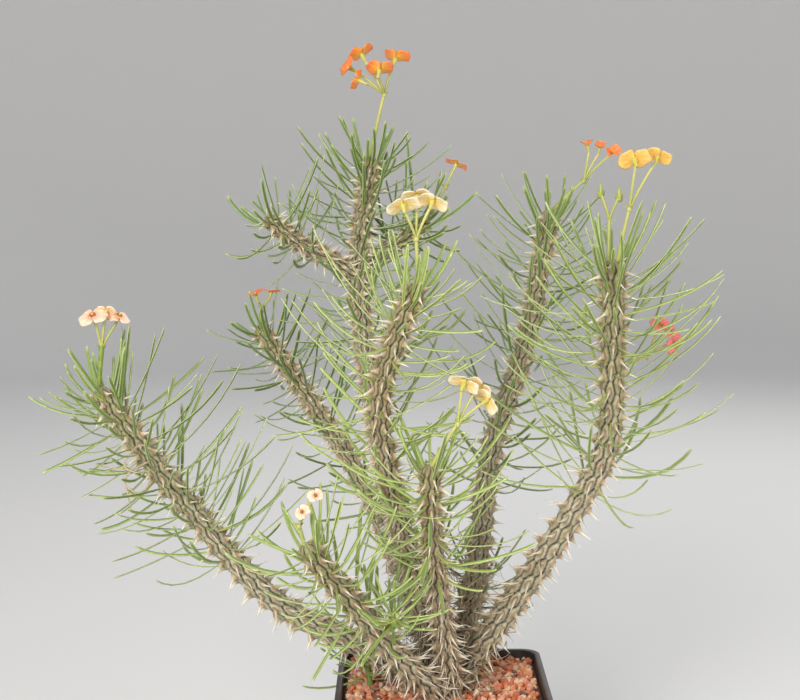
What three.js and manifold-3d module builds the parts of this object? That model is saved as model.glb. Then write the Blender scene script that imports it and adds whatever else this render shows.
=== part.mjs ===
// A spiny, narrow-leaved euphorbia with eleven stems, in flower, in a square nursery pot.
//
// Millimetres, +Z up. The origin is the middle of the pot's underside, the front
// is -Y and the right-hand side is +X. Every stem, crown of leaves, flower stalk
// and pair of bracts is a piece of its own, and neighbours keep a small gap.

import * as THREE from 'three';
import { mergeVertices } from 'three/addons/utils/BufferGeometryUtils.js';
import Module from 'manifold-3d';

const wasm = await Module();
wasm.setup();

// ---------------------------------------------------------------- driving dimensions

const GAP = 0.35; // clearance between two pieces that touch
const SIMPLER_BY = 0.12; // slivers left where two solids join are closed up within this

const POT = {
  rimWidth: 130,
  topWidth: 126, // the tapered wall, carried up to the height of the rim
  footWidth: 96,
  height: 112,
  rimDepth: 12,
  wall: 1.6,
  floor: 2,
  cornerShare: 0.085, // radius of a corner, as a share of the width
  drainHole: 8,
  drainReach: 33, // from the middle of the floor to a drain hole, along x and along y
};

const MIX_TOP = 92; // the potting mix ends here and the gravel begins
const GRAVEL_TOP = 106;

// Outline of the woody crown below the stems: distance from the axis, height.
const ROOT_CROWN = [[0, 60], [9, 60], [16, 78], [20, 98], [18, 111], [10, 117], [0, 119]];

const STEM_SIDES = 8;
const STEM_RINGS = 12;
const STALK_SIDES = 5;
const STALK_RINGS = 3;
const ARC_STEPS = 4; // straight steps in a quarter of a circle are half of this

const GOLDEN_ANGLE = THREE.MathUtils.degToRad(137.508);
const LEAF_SPACING = 1.35; // leaves stand further apart down the stem by this power
const LEAF_STEP = 4; // one blade is built for every fourth leaf of the spiral
const CUSHION_ROWS = 2; // the blades stand in this many rows along the bark
const LEAF = { width: 2.1, thickness: 1, tipShare: 0.5, rings: 3, clearance: 0.4 };

// Angle between a leaf and its stem in degrees: at the tip, how much it opens with
// age, how quickly, and how much it differs from leaf to leaf.
const OPENING = { tip: 46, gain: 40, speed: 2.8, scatter: 40 };
// The youngest leaves have this share of the full length, up to this age.
const GROWTH = { least: 0.5, fullAge: 0.25 };
// The line of a leaf as shares of its length: its bend, its end, how far the end
// lifts, how far it may swing to a side, and the least and spread of the length.
const LEAF_LINE = {
  bend: 0.55,
  end: 0.9,
  lift: 0.08,
  liftSpread: 0.34,
  swing: 0.3,
  least: 0.75,
  spread: 0.4,
};

const CUSHION = { radius: 1.3, lift: 1.25 }; // a row of leaf cushions on the bark
const BUD = { height: 6, overhang: 1.8, tipShare: 0.45, joinShare: 0.25 };
const SHOOT_LEAF_LIFT = 0.6; // blades on a bare shoot start this far under its skin

const BRACT = { thickness: 0.8, spacing: 0.8, tilt: 28 };
const CUP = { foot: 1.2, mouth: 2.3, height: 4.5 };
const STALK_RADIUS = 1.15;
const BRANCH_RADIUS = 1;
const STALK_BOW = 0.08; // a stalk bows upwards by this share of its length
const GREEN_BUD = { radius: 2.2, stretch: 1.4 };

// Each stem: its route from the crown to the growing tip, its radius at both ends,
// and its leaves: how many, where on the stem they begin, and their length.
const STEMS = [
  {
    name: 'far_left',
    route: [[-1, -2, 105], [-43, -14, 133], [-101, -26, 168], [-152, -38, 230], [-198, -45, 294]],
    radius: [6.6, 5.2],
    leaves: { count: 72, from: 0.55, length: 60 },
  },
  {
    name: 'right_front',
    route: [[8, 4, 110], [47, -8, 169], [81, -18, 226], [97, -26, 265], [98, -34, 314], [97, -42, 367]],
    radius: [7.4, 5.8],
    leaves: { count: 72, from: 0.5, length: 70 },
  },
  {
    name: 'middle_front',
    route: [
      [-1, -8, 112], [-20, -32, 194], [-35, -48, 260],
      [-37, -58, 296], [-27, -66, 334], [-18, -70, 356],
    ],
    radius: [6, 5],
    leaves: { count: 60, from: 0.55, length: 62 },
  },
  {
    name: 'low_front_left',
    route: [[2, -22, 107], [-23, -48, 137], [-52, -72, 177], [-77, -88, 212]],
    radius: [6.6, 5.4],
    leaves: { count: 40, from: 0.45, length: 52 },
  },
  {
    name: 'short_front',
    route: [[6, -20, 111], [-3, -52, 175], [-8, -68, 220], [-9, -80, 255]],
    radius: [5.8, 5],
    leaves: { count: 40, from: 0.55, length: 52 },
  },
  {
    name: 'right_back',
    route: [[10, 16, 112], [24, 38, 181], [33, 55, 246], [56, 70, 315], [71, 84, 394]],
    radius: [6.4, 5],
    leaves: { count: 68, from: 0.38, length: 58 },
  },
  {
    name: 'tall_middle',
    route: [[1, 8, 109], [-18, 22, 175], [-39, 38, 255], [-52, 52, 355], [-45, 60, 429]],
    radius: [6, 4.6],
    leaves: { count: 40, from: 0.83, length: 54 },
  },
  {
    name: 'left_back',
    route: [[-3, 14, 112], [-23, 40, 164], [-55, 66, 231], [-117, 92, 319]],
    radius: [5.6, 4.6],
    leaves: { count: 52, from: 0.45, length: 50 },
  },
  {
    name: 'branch_left',
    route: [[-53, 52, 358], [-70, 44, 369], [-88, 38, 379], [-106, 34, 393]],
    radius: [4.4, 4],
    leaves: { count: 24, from: 0.45, length: 46 },
  },
  {
    name: 'branch_right',
    route: [[-51, 52, 362], [-36, 66, 373], [-23, 78, 381], [-10, 90, 389]],
    radius: [4.4, 4],
    leaves: { count: 20, from: 0.45, length: 44 },
  },
  {
    name: 'small_back',
    route: [[9, 22, 112], [19, 40, 138], [27, 52, 169]],
    radius: [5, 4.2],
    leaves: { count: 16, from: 0.45, length: 42 },
  },
];

// Two young shoots that are all leaves: one on the low front stem, one in the gravel.
const SHOOTS = [
  {
    name: 'side_shoot',
    route: [[-32, -64.5, 160.5], [-29.5, -68.5, 166], [-28, -72, 172]],
    radius: [2.6, 2],
    leaves: { count: 12, from: 0.2, length: 40 },
  },
  {
    name: 'seedling',
    route: [[-44, -2, 106.6], [-45, -2, 114], [-46, -3, 122]],
    radius: [2, 1.4],
    leaves: { count: 8, from: 0.3, length: 44 },
  },
];

// Each flower cluster: the stem whose tip carries it, or its own start beside a
// stem; the fork of its stalk; and its heads, each with the middle of its bracts,
// the way it faces, the bearing of its two bracts and the radius of one bract.
const CLUSTERS = [
  {
    name: 'far_left',
    stem: 'far_left',
    shift: [1, 0, 0],
    fork: [-198, -46, 322],
    colour: 'salmon',
    heads: [
      { at: [-202, -50, 341], face: [-0.1, -0.6, 0.75], turn: 10, bract: 4.9 },
      { at: [-188.5, -42, 340], face: [0.4, -0.35, 0.9], turn: 20, bract: 4.3 },
    ],
  },
  {
    name: 'left_back',
    stem: 'left_back',
    shift: [0, 0, 0],
    fork: [-117, 91, 334],
    colour: 'orange',
    heads: [
      { at: [-120.5, 87, 343], face: [-0.3, -0.2, 1], turn: 20, bract: 3.4 },
      { at: [-111.5, 95, 344], face: [0.3, 0.1, 1], turn: -20, bract: 3.6 },
    ],
  },
  {
    name: 'tall_middle',
    stem: 'tall_middle',
    shift: [0, 0, 0],
    fork: [-36, 56, 472],
    colour: 'orange',
    heads: [
      { at: [-57, 52, 488], face: [-0.85, -0.4, 0.5], turn: 80, bract: 4.4 },
      { at: [-39, 45, 486], face: [0.1, 0.6, 0.75], turn: 10, bract: 4.7 },
      { at: [-50, 64, 497], face: [-0.35, 0.5, 0.8], turn: 20, bract: 4.7 },
      { at: [-29, 60, 494], face: [0.35, 0.5, 0.8], turn: -10, bract: 4.7 },
    ],
  },
  {
    name: 'branch_right',
    stem: 'branch_right',
    shift: [0, 0, 0],
    fork: [4, 95, 414],
    colour: 'orange',
    heads: [{ at: [11, 97, 429], face: [0.4, 0.3, 0.9], turn: 10, bract: 4.4 }],
  },
  {
    name: 'middle_front',
    stem: 'middle_front',
    shift: [0, 0, 0],
    fork: [-17, -74, 386],
    colour: 'peach',
    heads: [
      { at: [-24.5, -79, 405], face: [-0.2, 0.55, 0.8], turn: 5, bract: 5.6 },
      { at: [-8, -71, 407], face: [0.25, 0.55, 0.8], turn: 15, bract: 5.4 },
    ],
  },
  {
    name: 'short_front',
    stem: 'short_front',
    shift: [0, 0, 0],
    fork: [6, -86, 284],
    colour: 'peach',
    heads: [
      { at: [9.5, -87, 307], face: [0.35, 0.6, 0.7], turn: 15, bract: 5.2 },
      { at: [22.5, -79, 296.5], face: [0.7, 0.55, 0.45], turn: 15, bract: 5.2 },
    ],
  },
  {
    name: 'right_back',
    stem: 'right_back',
    shift: [0, 0, 0],
    fork: [94, 88, 418],
    colour: 'orange',
    heads: [
      { at: [96, 86, 440], face: [-0.2, -0.1, 1], turn: 10, bract: 2.7 },
      { at: [112, 91, 436], face: [0.3, -0.9, 0.5], turn: 30, bract: 2.9 },
    ],
  },
  {
    name: 'right_front',
    stem: 'right_front',
    shift: [2.4, 0, 0],
    fork: [105, -46, 402],
    colour: 'apricot',
    heads: [
      { at: [107, -50, 430], face: [-0.1, 0.75, 0.65], turn: 0, bract: 5.4 },
      { at: [122, -38, 432], face: [0.3, 0.6, 0.75], turn: 10, bract: 4.8 },
    ],
  },
  {
    name: 'low_front_left',
    stem: 'low_front_left',
    shift: [0, 0, 0],
    fork: [-82, -93, 228],
    colour: 'salmon',
    heads: [
      { at: [-79.5, -103, 238], face: [-0.15, -1, 0.3], turn: 35, bract: 2.7 },
      { at: [-72.5, -100, 246.5], face: [0.1, -1, 0.3], turn: 20, bract: 2.7 },
    ],
  },
  {
    name: 'right_side',
    start: [107.6, -30, 310],
    fork: [124, 0, 312],
    colour: 'coral',
    heads: [
      { at: [132, 4, 331], face: [0.2, -0.7, 0.7], turn: 20, bract: 4 },
      { at: [141.5, 9, 319], face: [0.6, -0.8, 0], turn: 80, bract: 4.2 },
    ],
  },
];

// The unopened cluster beside the right-hand flowers: a stalk with two green buds.
const BUD_CLUSTER = {
  name: 'right_front_buds',
  stem: 'right_front',
  shift: [-3.4, 1.5, 0],
  fork: [95, -36, 396],
  buds: [[90, -34, 411], [101, -32, 409]],
};

const COLOURS = {
  plastic: { color: 0x17181a, roughness: 0.55 },
  mix: { color: 0x2e2219, roughness: 1 },
  gravel: { color: 0xc06a4a, roughness: 0.95 },
  bark: { color: 0x8f8468, roughness: 0.85 },
  leaf: { color: 0x7fa032, roughness: 0.5 },
  stalk: { color: 0xb3b545, roughness: 0.5 },
  salmon: { color: 0xf4a48c, roughness: 0.55 },
  orange: { color: 0xe58232, roughness: 0.55 },
  peach: { color: 0xf3cf9e, roughness: 0.55 },
  apricot: { color: 0xf2b45e, roughness: 0.55 },
  coral: { color: 0xf0604c, roughness: 0.55 },
};

// ---------------------------------------------------------------- solids and meshes

const plant = new THREE.Group();
const placed = []; // every finished piece, with its box, for the clash tests

// A closed three.js geometry as a solid that can be joined and cut.
function solid(geometry) {
  const bare = geometry.clone();
  bare.deleteAttribute('normal');
  bare.deleteAttribute('uv');
  const merged = mergeVertices(bare, 1e-4);
  const mesh = new wasm.Mesh({
    numProp: 3,
    vertProperties: merged.attributes.position.array,
    triVerts: Uint32Array.from(merged.index.array),
  });
  return new wasm.Manifold(mesh);
}

// Several solids joined into one, with the slivers along their joins closed up.
function union(solids) {
  return solids.reduce((whole, piece) => whole.add(piece)).simplify(SIMPLER_BY);
}

// The largest separate body of a solid, for a piece whose end has been cut away.
function largestBody(whole) {
  const bodies = whole.decompose();
  return bodies.reduce((best, body) => (body.volume() > best.volume() ? body : best));
}

function boxesMeet(a, b) {
  return [0, 1, 2].every((axis) => a.min[axis] < b.max[axis] && b.min[axis] < a.max[axis]);
}

// Whether a solid touches none of the pieces made so far.
function isClear(candidate) {
  const box = candidate.boundingBox();
  return placed.every((piece) => (
    !boxesMeet(piece.box, box) || candidate.intersect(piece.body).isEmpty()
  ));
}

// Adds a finished solid to the plant as a named mesh.
function place(name, body, colour) {
  const { vertProperties, triVerts } = body.getMesh();
  const geometry = new THREE.BufferGeometry();
  geometry.setAttribute('position', new THREE.BufferAttribute(vertProperties, 3));
  geometry.setIndex(new THREE.BufferAttribute(triVerts, 1));
  geometry.computeVertexNormals();
  const material = new THREE.MeshStandardMaterial({ ...COLOURS[colour], metalness: 0 });
  const mesh = new THREE.Mesh(geometry, material);
  mesh.name = name;
  plant.add(mesh);
  placed.push({ body, box: body.boundingBox() });
}

// ---------------------------------------------------------------- curves and tubes

function vector(values) {
  return new THREE.Vector3(...values);
}

function routeCurve(points) {
  return new THREE.CatmullRomCurve3(points.map(vector), false, 'catmullrom', 0.5);
}

// The point at a share of a curve's length, with the curve's direction, the
// direction square to it that points most to the back, and the third one.
function frameAt(curve, share) {
  const point = curve.getPointAt(share);
  const along = curve.getTangentAt(share);
  const back = new THREE.Vector3(0, 1, 0);
  back.addScaledVector(along, -back.dot(along)).normalize();
  const across = along.clone().cross(back);
  return { point, along, back, across };
}

// A cylinder of height 1 about y, with every vertex moved to where position(share,
// x, z) puts it: share runs from 0 at its foot to 1 at its head.
function bentCylinder(headScale, sides, rings, position) {
  const geometry = new THREE.CylinderGeometry(headScale, 1, 1, sides, rings);
  const vertices = geometry.attributes.position;
  for (let i = 0; i < vertices.count; i += 1) {
    const share = vertices.getY(i) + 0.5;
    const moved = position(share, vertices.getX(i), vertices.getZ(i));
    vertices.setXYZ(i, moved.x, moved.y, moved.z);
  }
  return solid(geometry);
}

// A round tube along a curve, with its radius given as a function of the share,
// made larger by a margin all round and at both ends.
function tube(curve, radiusAt, sides, rings, margin = 0) {
  return bentCylinder(1, sides, rings, (share, x, z) => {
    const { point, along, back, across } = frameAt(curve, share);
    const radius = radiusAt(share) + margin;
    if (share === 0 || share === 1) {
      point.addScaledVector(along, share === 0 ? -margin : margin);
    }
    return point.addScaledVector(across, x * radius).addScaledVector(back, z * radius);
  });
}

// A repeatable number from 0 to 1 for leaf n, one for each k.
function scatter(n, k) {
  const wave = Math.sin(n * 12.9898 + k * 78.233) * 43758.5453;
  return wave - Math.floor(wave);
}

// ---------------------------------------------------------------- pot and filling

// A rounded square, extruded upwards and tapered from its foot to its head.
function taperedSquare(footWidth, headWidth, bottom, top) {
  const half = footWidth / 2;
  const radius = POT.cornerShare * footWidth;
  const straight = half - radius;
  const outline = new THREE.Shape();
  outline.absarc(straight, straight, radius, 0, Math.PI / 2);
  outline.absarc(-straight, straight, radius, Math.PI / 2, Math.PI);
  outline.absarc(-straight, -straight, radius, Math.PI, 1.5 * Math.PI);
  outline.absarc(straight, -straight, radius, 1.5 * Math.PI, 2 * Math.PI);
  const height = top - bottom;
  const geometry = new THREE.ExtrudeGeometry(outline, {
    depth: height,
    bevelEnabled: false,
    curveSegments: ARC_STEPS / 2,
  });
  const vertices = geometry.attributes.position;
  for (let i = 0; i < vertices.count; i += 1) {
    const z = vertices.getZ(i);
    const scale = THREE.MathUtils.lerp(1, headWidth / footWidth, z / height);
    vertices.setXYZ(i, vertices.getX(i) * scale, vertices.getY(i) * scale, z + bottom);
  }
  return solid(geometry);
}

// The width of the tapered wall's outside at a height above the foot.
function wallWidth(z) {
  return THREE.MathUtils.lerp(POT.footWidth, POT.topWidth, z / POT.height);
}

function insideWidth(z) {
  return wallWidth(z) - 2 * POT.wall;
}

function drainHole(signX, signY) {
  const geometry = new THREE.CylinderGeometry(POT.drainHole / 2, POT.drainHole / 2, 4 * POT.floor, 12);
  geometry.rotateX(Math.PI / 2);
  geometry.translate(signX * POT.drainReach, signY * POT.drainReach, 0);
  return solid(geometry);
}

function makePot() {
  const wall = taperedSquare(POT.footWidth, POT.topWidth, 0, POT.height);
  const rimBottom = POT.height - POT.rimDepth;
  const rim = taperedSquare(POT.rimWidth - 1, POT.rimWidth, rimBottom, POT.height);
  const above = POT.height + 1;
  const inside = taperedSquare(insideWidth(POT.floor), insideWidth(above), POT.floor, above);
  let pot = wall.add(rim).subtract(inside);
  for (const signX of [-1, 1]) {
    for (const signY of [-1, 1]) {
      pot = pot.subtract(drainHole(signX, signY));
    }
  }
  return pot;
}

// A filling of the pot between two heights, clear of the wall and of what grows in it.
function makeFilling(bottom, top, growing) {
  const footWidth = insideWidth(bottom) - 2 * GAP;
  const headWidth = insideWidth(top) - 2 * GAP;
  const filling = taperedSquare(footWidth, headWidth, bottom, top);
  return largestBody(growing.reduce((rest, piece) => rest.subtract(piece), filling));
}

// ---------------------------------------------------------------- stems

// The crown below the stems, made larger all round by a margin.
function rootCrown(margin) {
  const middle = (ROOT_CROWN[0][1] + ROOT_CROWN.at(-1)[1]) / 2;
  const outline = ROOT_CROWN.map(([radius, height]) => (
    new THREE.Vector2(radius === 0 ? 0 : radius + margin, height + Math.sign(height - middle) * margin)
  ));
  const geometry = new THREE.LatheGeometry(outline, 12);
  geometry.rotateX(Math.PI / 2);
  return solid(geometry);
}

function stemRadius(stem, share) {
  return THREE.MathUtils.lerp(stem.radius[0], stem.radius[1], share);
}

function stemTube(stem, margin) {
  return tube(stem.curve, (share) => stemRadius(stem, share), STEM_SIDES, STEM_RINGS, margin);
}

// ---------------------------------------------------------------- leaves

// Where leaf n of a stem starts, counted down from the tip: its share of the
// stem's length, its direction out from the axis and the stem's own frame there.
function leafSeat(stem, n, lift) {
  const { count, from } = stem.leaves;
  const share = 1 - (1 - from) * ((n + 0.3) / count) ** LEAF_SPACING;
  const frame = frameAt(stem.curve, share);
  const bearing = n * GOLDEN_ANGLE;
  const out = frame.back.clone().multiplyScalar(Math.cos(bearing));
  out.addScaledVector(frame.across, Math.sin(bearing));
  const point = frame.point.clone().addScaledVector(out, stemRadius(stem, share) + lift);
  return { ...frame, point, out, age: n / count };
}

// The middle line of a leaf: it leaves the stem at an angle that grows with its
// age, and bends upwards towards its tip.
function leafCurve(seat, n, seed, length) {
  const scatterOf = (k) => scatter(n + 100 * seed, k);
  const opened = OPENING.gain * THREE.MathUtils.smoothstep(OPENING.speed * seat.age, 0, 1);
  const opening = OPENING.tip + opened + OPENING.scatter * (scatterOf(1) - 0.5);
  const angle = THREE.MathUtils.degToRad(opening);
  const growth = THREE.MathUtils.lerp(GROWTH.least, 1, Math.min(1, seat.age / GROWTH.fullAge));
  const reach = length * growth * (LEAF_LINE.least + LEAF_LINE.spread * scatterOf(2));
  const direction = seat.along.clone().multiplyScalar(Math.cos(angle));
  direction.addScaledVector(seat.out, Math.sin(angle));
  const sideways = seat.along.clone().cross(seat.out).normalize();
  const bend = seat.point.clone().addScaledVector(direction, LEAF_LINE.bend * reach);
  const tip = seat.point.clone().addScaledVector(direction, LEAF_LINE.end * reach);
  tip.z += (LEAF_LINE.lift + LEAF_LINE.liftSpread * scatterOf(3)) * reach;
  tip.addScaledVector(sideways, (scatterOf(4) - 0.5) * LEAF_LINE.swing * reach);
  return { curve: new THREE.QuadraticBezierCurve3(seat.point, bend, tip), sideways };
}

// A narrow blade, three-sided, that tapers a little towards its tip.
function leafBlade({ curve, sideways }, margin) {
  const halfWidth = LEAF.width / 2 + margin;
  const halfThickness = LEAF.thickness / 2 + margin;
  return bentCylinder(LEAF.tipShare, 3, LEAF.rings, (share, x, z) => {
    const point = curve.getPoint(share);
    const across = sideways.clone().cross(curve.getTangent(share)).normalize();
    return point.addScaledVector(sideways, x * halfWidth).addScaledVector(across, z * halfThickness);
  });
}

// The blades of a stem or shoot that touch nothing made before them.
function clearBlades(stem, seed, step, lift) {
  const blades = [];
  for (let n = 0; n < stem.leaves.count; n += step) {
    const line = leafCurve(leafSeat(stem, n, lift), n, seed, stem.leaves.length);
    if (isClear(leafBlade(line, LEAF.clearance))) {
      blades.push(leafBlade(line, 0));
    }
  }
  return blades;
}

// One row of leaf cushions: a three-sided ridge on the bark that runs from seat to
// seat, with its flat side to the bark, and ends inside the bud.
function cushionRow(stem, row) {
  const seats = [];
  for (let n = row * LEAF_STEP; n < stem.leaves.count; n += CUSHION_ROWS * LEAF_STEP) {
    seats.unshift(leafSeat(stem, n, CUSHION.lift));
  }
  const last = seats.at(-1);
  const end = frameAt(stem.curve, 1);
  const point = end.point.clone().addScaledVector(end.along, GAP + BUD.joinShare * BUD.height);
  point.addScaledVector(last.out, stemRadius(stem, 1) + CUSHION.lift);
  seats.push({ ...end, point, out: last.out });
  const rings = seats.length - 1;
  return bentCylinder(1, 3, rings, (share, x, z) => {
    const seat = seats[Math.round(share * rings)];
    const beside = seat.along.clone().cross(seat.out);
    return seat.point.clone()
      .addScaledVector(beside, x * CUSHION.radius)
      .addScaledVector(seat.out, z * CUSHION.radius);
  });
}

// The growing tip: a low eight-sided bud just beyond the end of its stem.
function tipBud(stem) {
  const { point, along, back, across } = frameAt(stem.curve, 1);
  const radius = stemRadius(stem, 1) + BUD.overhang;
  return bentCylinder(BUD.tipShare, STEM_SIDES, 2, (share, x, z) => (
    point.clone()
      .addScaledVector(along, GAP + share * BUD.height)
      .addScaledVector(across, x * radius)
      .addScaledVector(back, z * radius)
  ));
}

// The start of a stalk just above the bud of a stem, moved by a shift across the stem.
function aboveBud(stem, shift) {
  const { point, along } = frameAt(stem.curve, 1);
  const across = vector(shift).projectOnPlane(along);
  return point.addScaledVector(along, BUD.height + 2 * GAP + STALK_RADIUS).add(across);
}

function makeCrownOfLeaves(stem, seed) {
  const pieces = [tipBud(stem)];
  for (let row = 0; row < CUSHION_ROWS; row += 1) {
    pieces.push(cushionRow(stem, row));
  }
  pieces.push(...clearBlades(stem, seed, LEAF_STEP, CUSHION.lift));
  return union(pieces);
}

function makeShoot(shoot, seed) {
  const peg = tube(shoot.curve, (share) => stemRadius(shoot, share), STALK_SIDES, 2);
  return union([peg, ...clearBlades(shoot, seed, 1, -SHOOT_LEAF_LIFT)]);
}

// ---------------------------------------------------------------- flowers

// A stalk between two points, bowed a little upwards.
function stalkTube(start, end, radius) {
  const bend = start.clone().lerp(end, 0.5);
  bend.z += STALK_BOW * start.distanceTo(end);
  return tube(new THREE.QuadraticBezierCurve3(start, bend, end), () => radius, STALK_SIDES, STALK_RINGS);
}

// Where the stalk of a head ends: just behind its cup, clear of it at any slant.
function cupFoot(head) {
  const behind = CUP.height + GAP + BRANCH_RADIUS;
  return vector(head.at).addScaledVector(vector(head.face).normalize(), -behind);
}

function makeStalk(cluster, start) {
  const fork = vector(cluster.fork);
  const pieces = [stalkTube(start, fork, STALK_RADIUS)];
  for (const head of cluster.heads) {
    pieces.push(stalkTube(fork, cupFoot(head), BRANCH_RADIUS));
  }
  return union(pieces);
}

// One head: a small cup under two round bracts, in the frame of the way it faces.
function makeHead(head) {
  const cup = new THREE.CylinderGeometry(CUP.mouth, CUP.foot, CUP.height, STALK_SIDES);
  cup.rotateX(Math.PI / 2);
  cup.translate(0, 0, -CUP.height / 2);
  const disc = new THREE.Shape();
  disc.absarc(head.bract * BRACT.spacing, 0, head.bract, 0, 2 * Math.PI);
  const pieces = [cup];
  for (const bearing of [0, Math.PI]) {
    const bract = new THREE.ExtrudeGeometry(disc, {
      depth: BRACT.thickness,
      bevelEnabled: false,
      curveSegments: ARC_STEPS,
    });
    bract.translate(0, 0, -BRACT.thickness / 2);
    bract.rotateY(-THREE.MathUtils.degToRad(BRACT.tilt));
    bract.rotateZ(bearing);
    pieces.push(bract);
  }
  const turned = new THREE.Quaternion().setFromUnitVectors(
    new THREE.Vector3(0, 0, 1),
    vector(head.face).normalize(),
  );
  return union(pieces.map((geometry) => {
    geometry.rotateZ(THREE.MathUtils.degToRad(head.turn));
    geometry.applyQuaternion(turned);
    geometry.translate(...head.at);
    return solid(geometry);
  }));
}

function makeBudCluster(cluster, start) {
  const fork = vector(cluster.fork);
  const pieces = [stalkTube(start, fork, STALK_RADIUS)];
  for (const at of cluster.buds) {
    pieces.push(stalkTube(fork, vector(at), BRANCH_RADIUS));
    const bud = new THREE.IcosahedronGeometry(GREEN_BUD.radius);
    bud.scale(1, 1, GREEN_BUD.stretch);
    bud.translate(...at);
    pieces.push(solid(bud));
  }
  return union(pieces);
}

// ---------------------------------------------------------------- the whole plant

function buildPlant() {
  for (const stem of [...STEMS, ...SHOOTS]) {
    stem.curve = routeCurve(stem.route);
  }
  const stemNamed = (name) => STEMS.find((stem) => stem.name === name);

  const growing = [rootCrown(GAP)];
  place('root_crown', rootCrown(0), 'bark');
  for (const stem of STEMS) {
    const cut = growing.reduce((rest, piece) => rest.subtract(piece), stemTube(stem, 0));
    place(`stem_${stem.name}`, largestBody(cut), 'bark');
    growing.push(stemTube(stem, GAP));
  }

  place('pot', makePot(), 'plastic');
  place('potting_mix', makeFilling(POT.floor + GAP, MIX_TOP, growing), 'mix');
  place('gravel_layer', makeFilling(MIX_TOP + GAP, GRAVEL_TOP, growing), 'gravel');

  for (const cluster of CLUSTERS) {
    const start = cluster.stem ? aboveBud(stemNamed(cluster.stem), cluster.shift) : vector(cluster.start);
    place(`flower_stalk_${cluster.name}`, makeStalk(cluster, start), 'stalk');
    cluster.heads.forEach((head, i) => {
      place(`flower_${cluster.name}_${i + 1}`, makeHead(head), cluster.colour);
    });
  }
  const budStart = aboveBud(stemNamed(BUD_CLUSTER.stem), BUD_CLUSTER.shift);
  place(`flower_stalk_${BUD_CLUSTER.name}`, makeBudCluster(BUD_CLUSTER, budStart), 'stalk');

  STEMS.forEach((stem, seed) => {
    place(`leaves_${stem.name}`, makeCrownOfLeaves(stem, seed), 'leaf');
  });
  SHOOTS.forEach((shoot, i) => {
    place(`leaves_${shoot.name}`, makeShoot(shoot, STEMS.length + i), 'leaf');
  });
}

buildPlant();

export default plant;
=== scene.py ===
"""Looks of a potted spiny euphorbia in flower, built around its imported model.

Laid out as an add-on and run as a script. Lengths in the tables are millimetres
and MM turns them into metres; the front of the plant is -Y, its right is +X, up is +Z.
"""

import math

import bpy
import numpy as np
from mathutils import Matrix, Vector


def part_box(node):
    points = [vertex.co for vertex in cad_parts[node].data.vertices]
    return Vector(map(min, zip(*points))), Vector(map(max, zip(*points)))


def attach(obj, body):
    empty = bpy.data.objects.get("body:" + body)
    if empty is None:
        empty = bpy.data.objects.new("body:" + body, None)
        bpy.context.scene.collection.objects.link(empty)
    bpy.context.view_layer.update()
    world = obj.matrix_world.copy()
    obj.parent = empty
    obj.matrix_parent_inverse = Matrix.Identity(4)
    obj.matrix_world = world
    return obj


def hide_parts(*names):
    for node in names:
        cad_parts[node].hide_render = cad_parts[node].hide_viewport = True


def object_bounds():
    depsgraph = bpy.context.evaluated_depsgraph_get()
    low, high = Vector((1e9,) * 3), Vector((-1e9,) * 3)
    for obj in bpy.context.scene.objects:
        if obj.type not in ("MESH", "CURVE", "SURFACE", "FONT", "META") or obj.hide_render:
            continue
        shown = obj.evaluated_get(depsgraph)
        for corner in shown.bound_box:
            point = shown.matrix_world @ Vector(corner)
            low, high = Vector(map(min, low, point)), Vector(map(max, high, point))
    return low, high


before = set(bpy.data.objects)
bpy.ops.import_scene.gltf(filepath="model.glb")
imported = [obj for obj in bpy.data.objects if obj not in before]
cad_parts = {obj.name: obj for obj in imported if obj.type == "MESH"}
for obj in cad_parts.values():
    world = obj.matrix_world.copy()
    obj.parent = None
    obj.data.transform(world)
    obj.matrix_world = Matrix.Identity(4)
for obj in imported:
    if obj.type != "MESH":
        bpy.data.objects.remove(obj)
CAD_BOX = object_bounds()
LOWEST, HIGHEST = (np.array(corner) for corner in CAD_BOX)

bl_info = {
    "name": "Potted spiny euphorbia",
    "version": (1, 0, 0),
    "blender": (4, 5, 0),
    "location": "View3D > Sidebar > Euphorbia",
    "description": "Builds the bark, spines, leaves, flowers, gravel and pot around the packed model",
    "category": "Object",
}

MM = 0.001
BODY = "root"
COLUMNS = 8  # of shields round a stem
SHIELD_TURN = math.radians(135.9)  # from one shield to the next, so that the columns are almost straight
UP = np.array([0.0, 0.0, 1.0])
BACK = np.array([0.0, 1.0, 0.0])
UPRIGHT = (UP, np.array([1.0, 0.0, 0.0]), BACK)  # axes of a turned body that stands straight up
GOLDEN_ANGLE = math.radians(137.508)
LEAF_PROUD = np.array([18, 14, 14]) * MM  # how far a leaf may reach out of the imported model's box
TWIN_LIFT = 0.35 * MM  # the right-hand bract of a pair lies this much over its twin
ARCH = 0.17  # how much a bract bends down towards its rim

# A leaf opens from its stem by these degrees, and lifts and swings by these shares of its length.
OPENING = dict(at_tip=46, gain=40, speed=2.8, scatter=40, companion=-10)
LEAF_LINE = dict(bend=0.55, end=0.9, lift=0.08, lift_spread=0.34, swing=0.3)
LEAF_SPACING = 1.35  # above 1, the leaves stand further apart the lower they are
GROWTH = dict(least=0.5, full_age=0.25)  # length of the youngest leaf, and age of a full-grown one

POT_FOOT_WIDTH = 96 * MM
POT_TOP_WIDTH = 126 * MM  # of the tapered wall, carried up to the height of the rim
POT_CORNER = 0.085  # radius of a corner, as a share of the width
DRAIN_REACH = 33 * MM  # from the middle of the floor to a drain hole, along x and along y

# ------------------------------------------------------------------ the plant's own table

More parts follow.
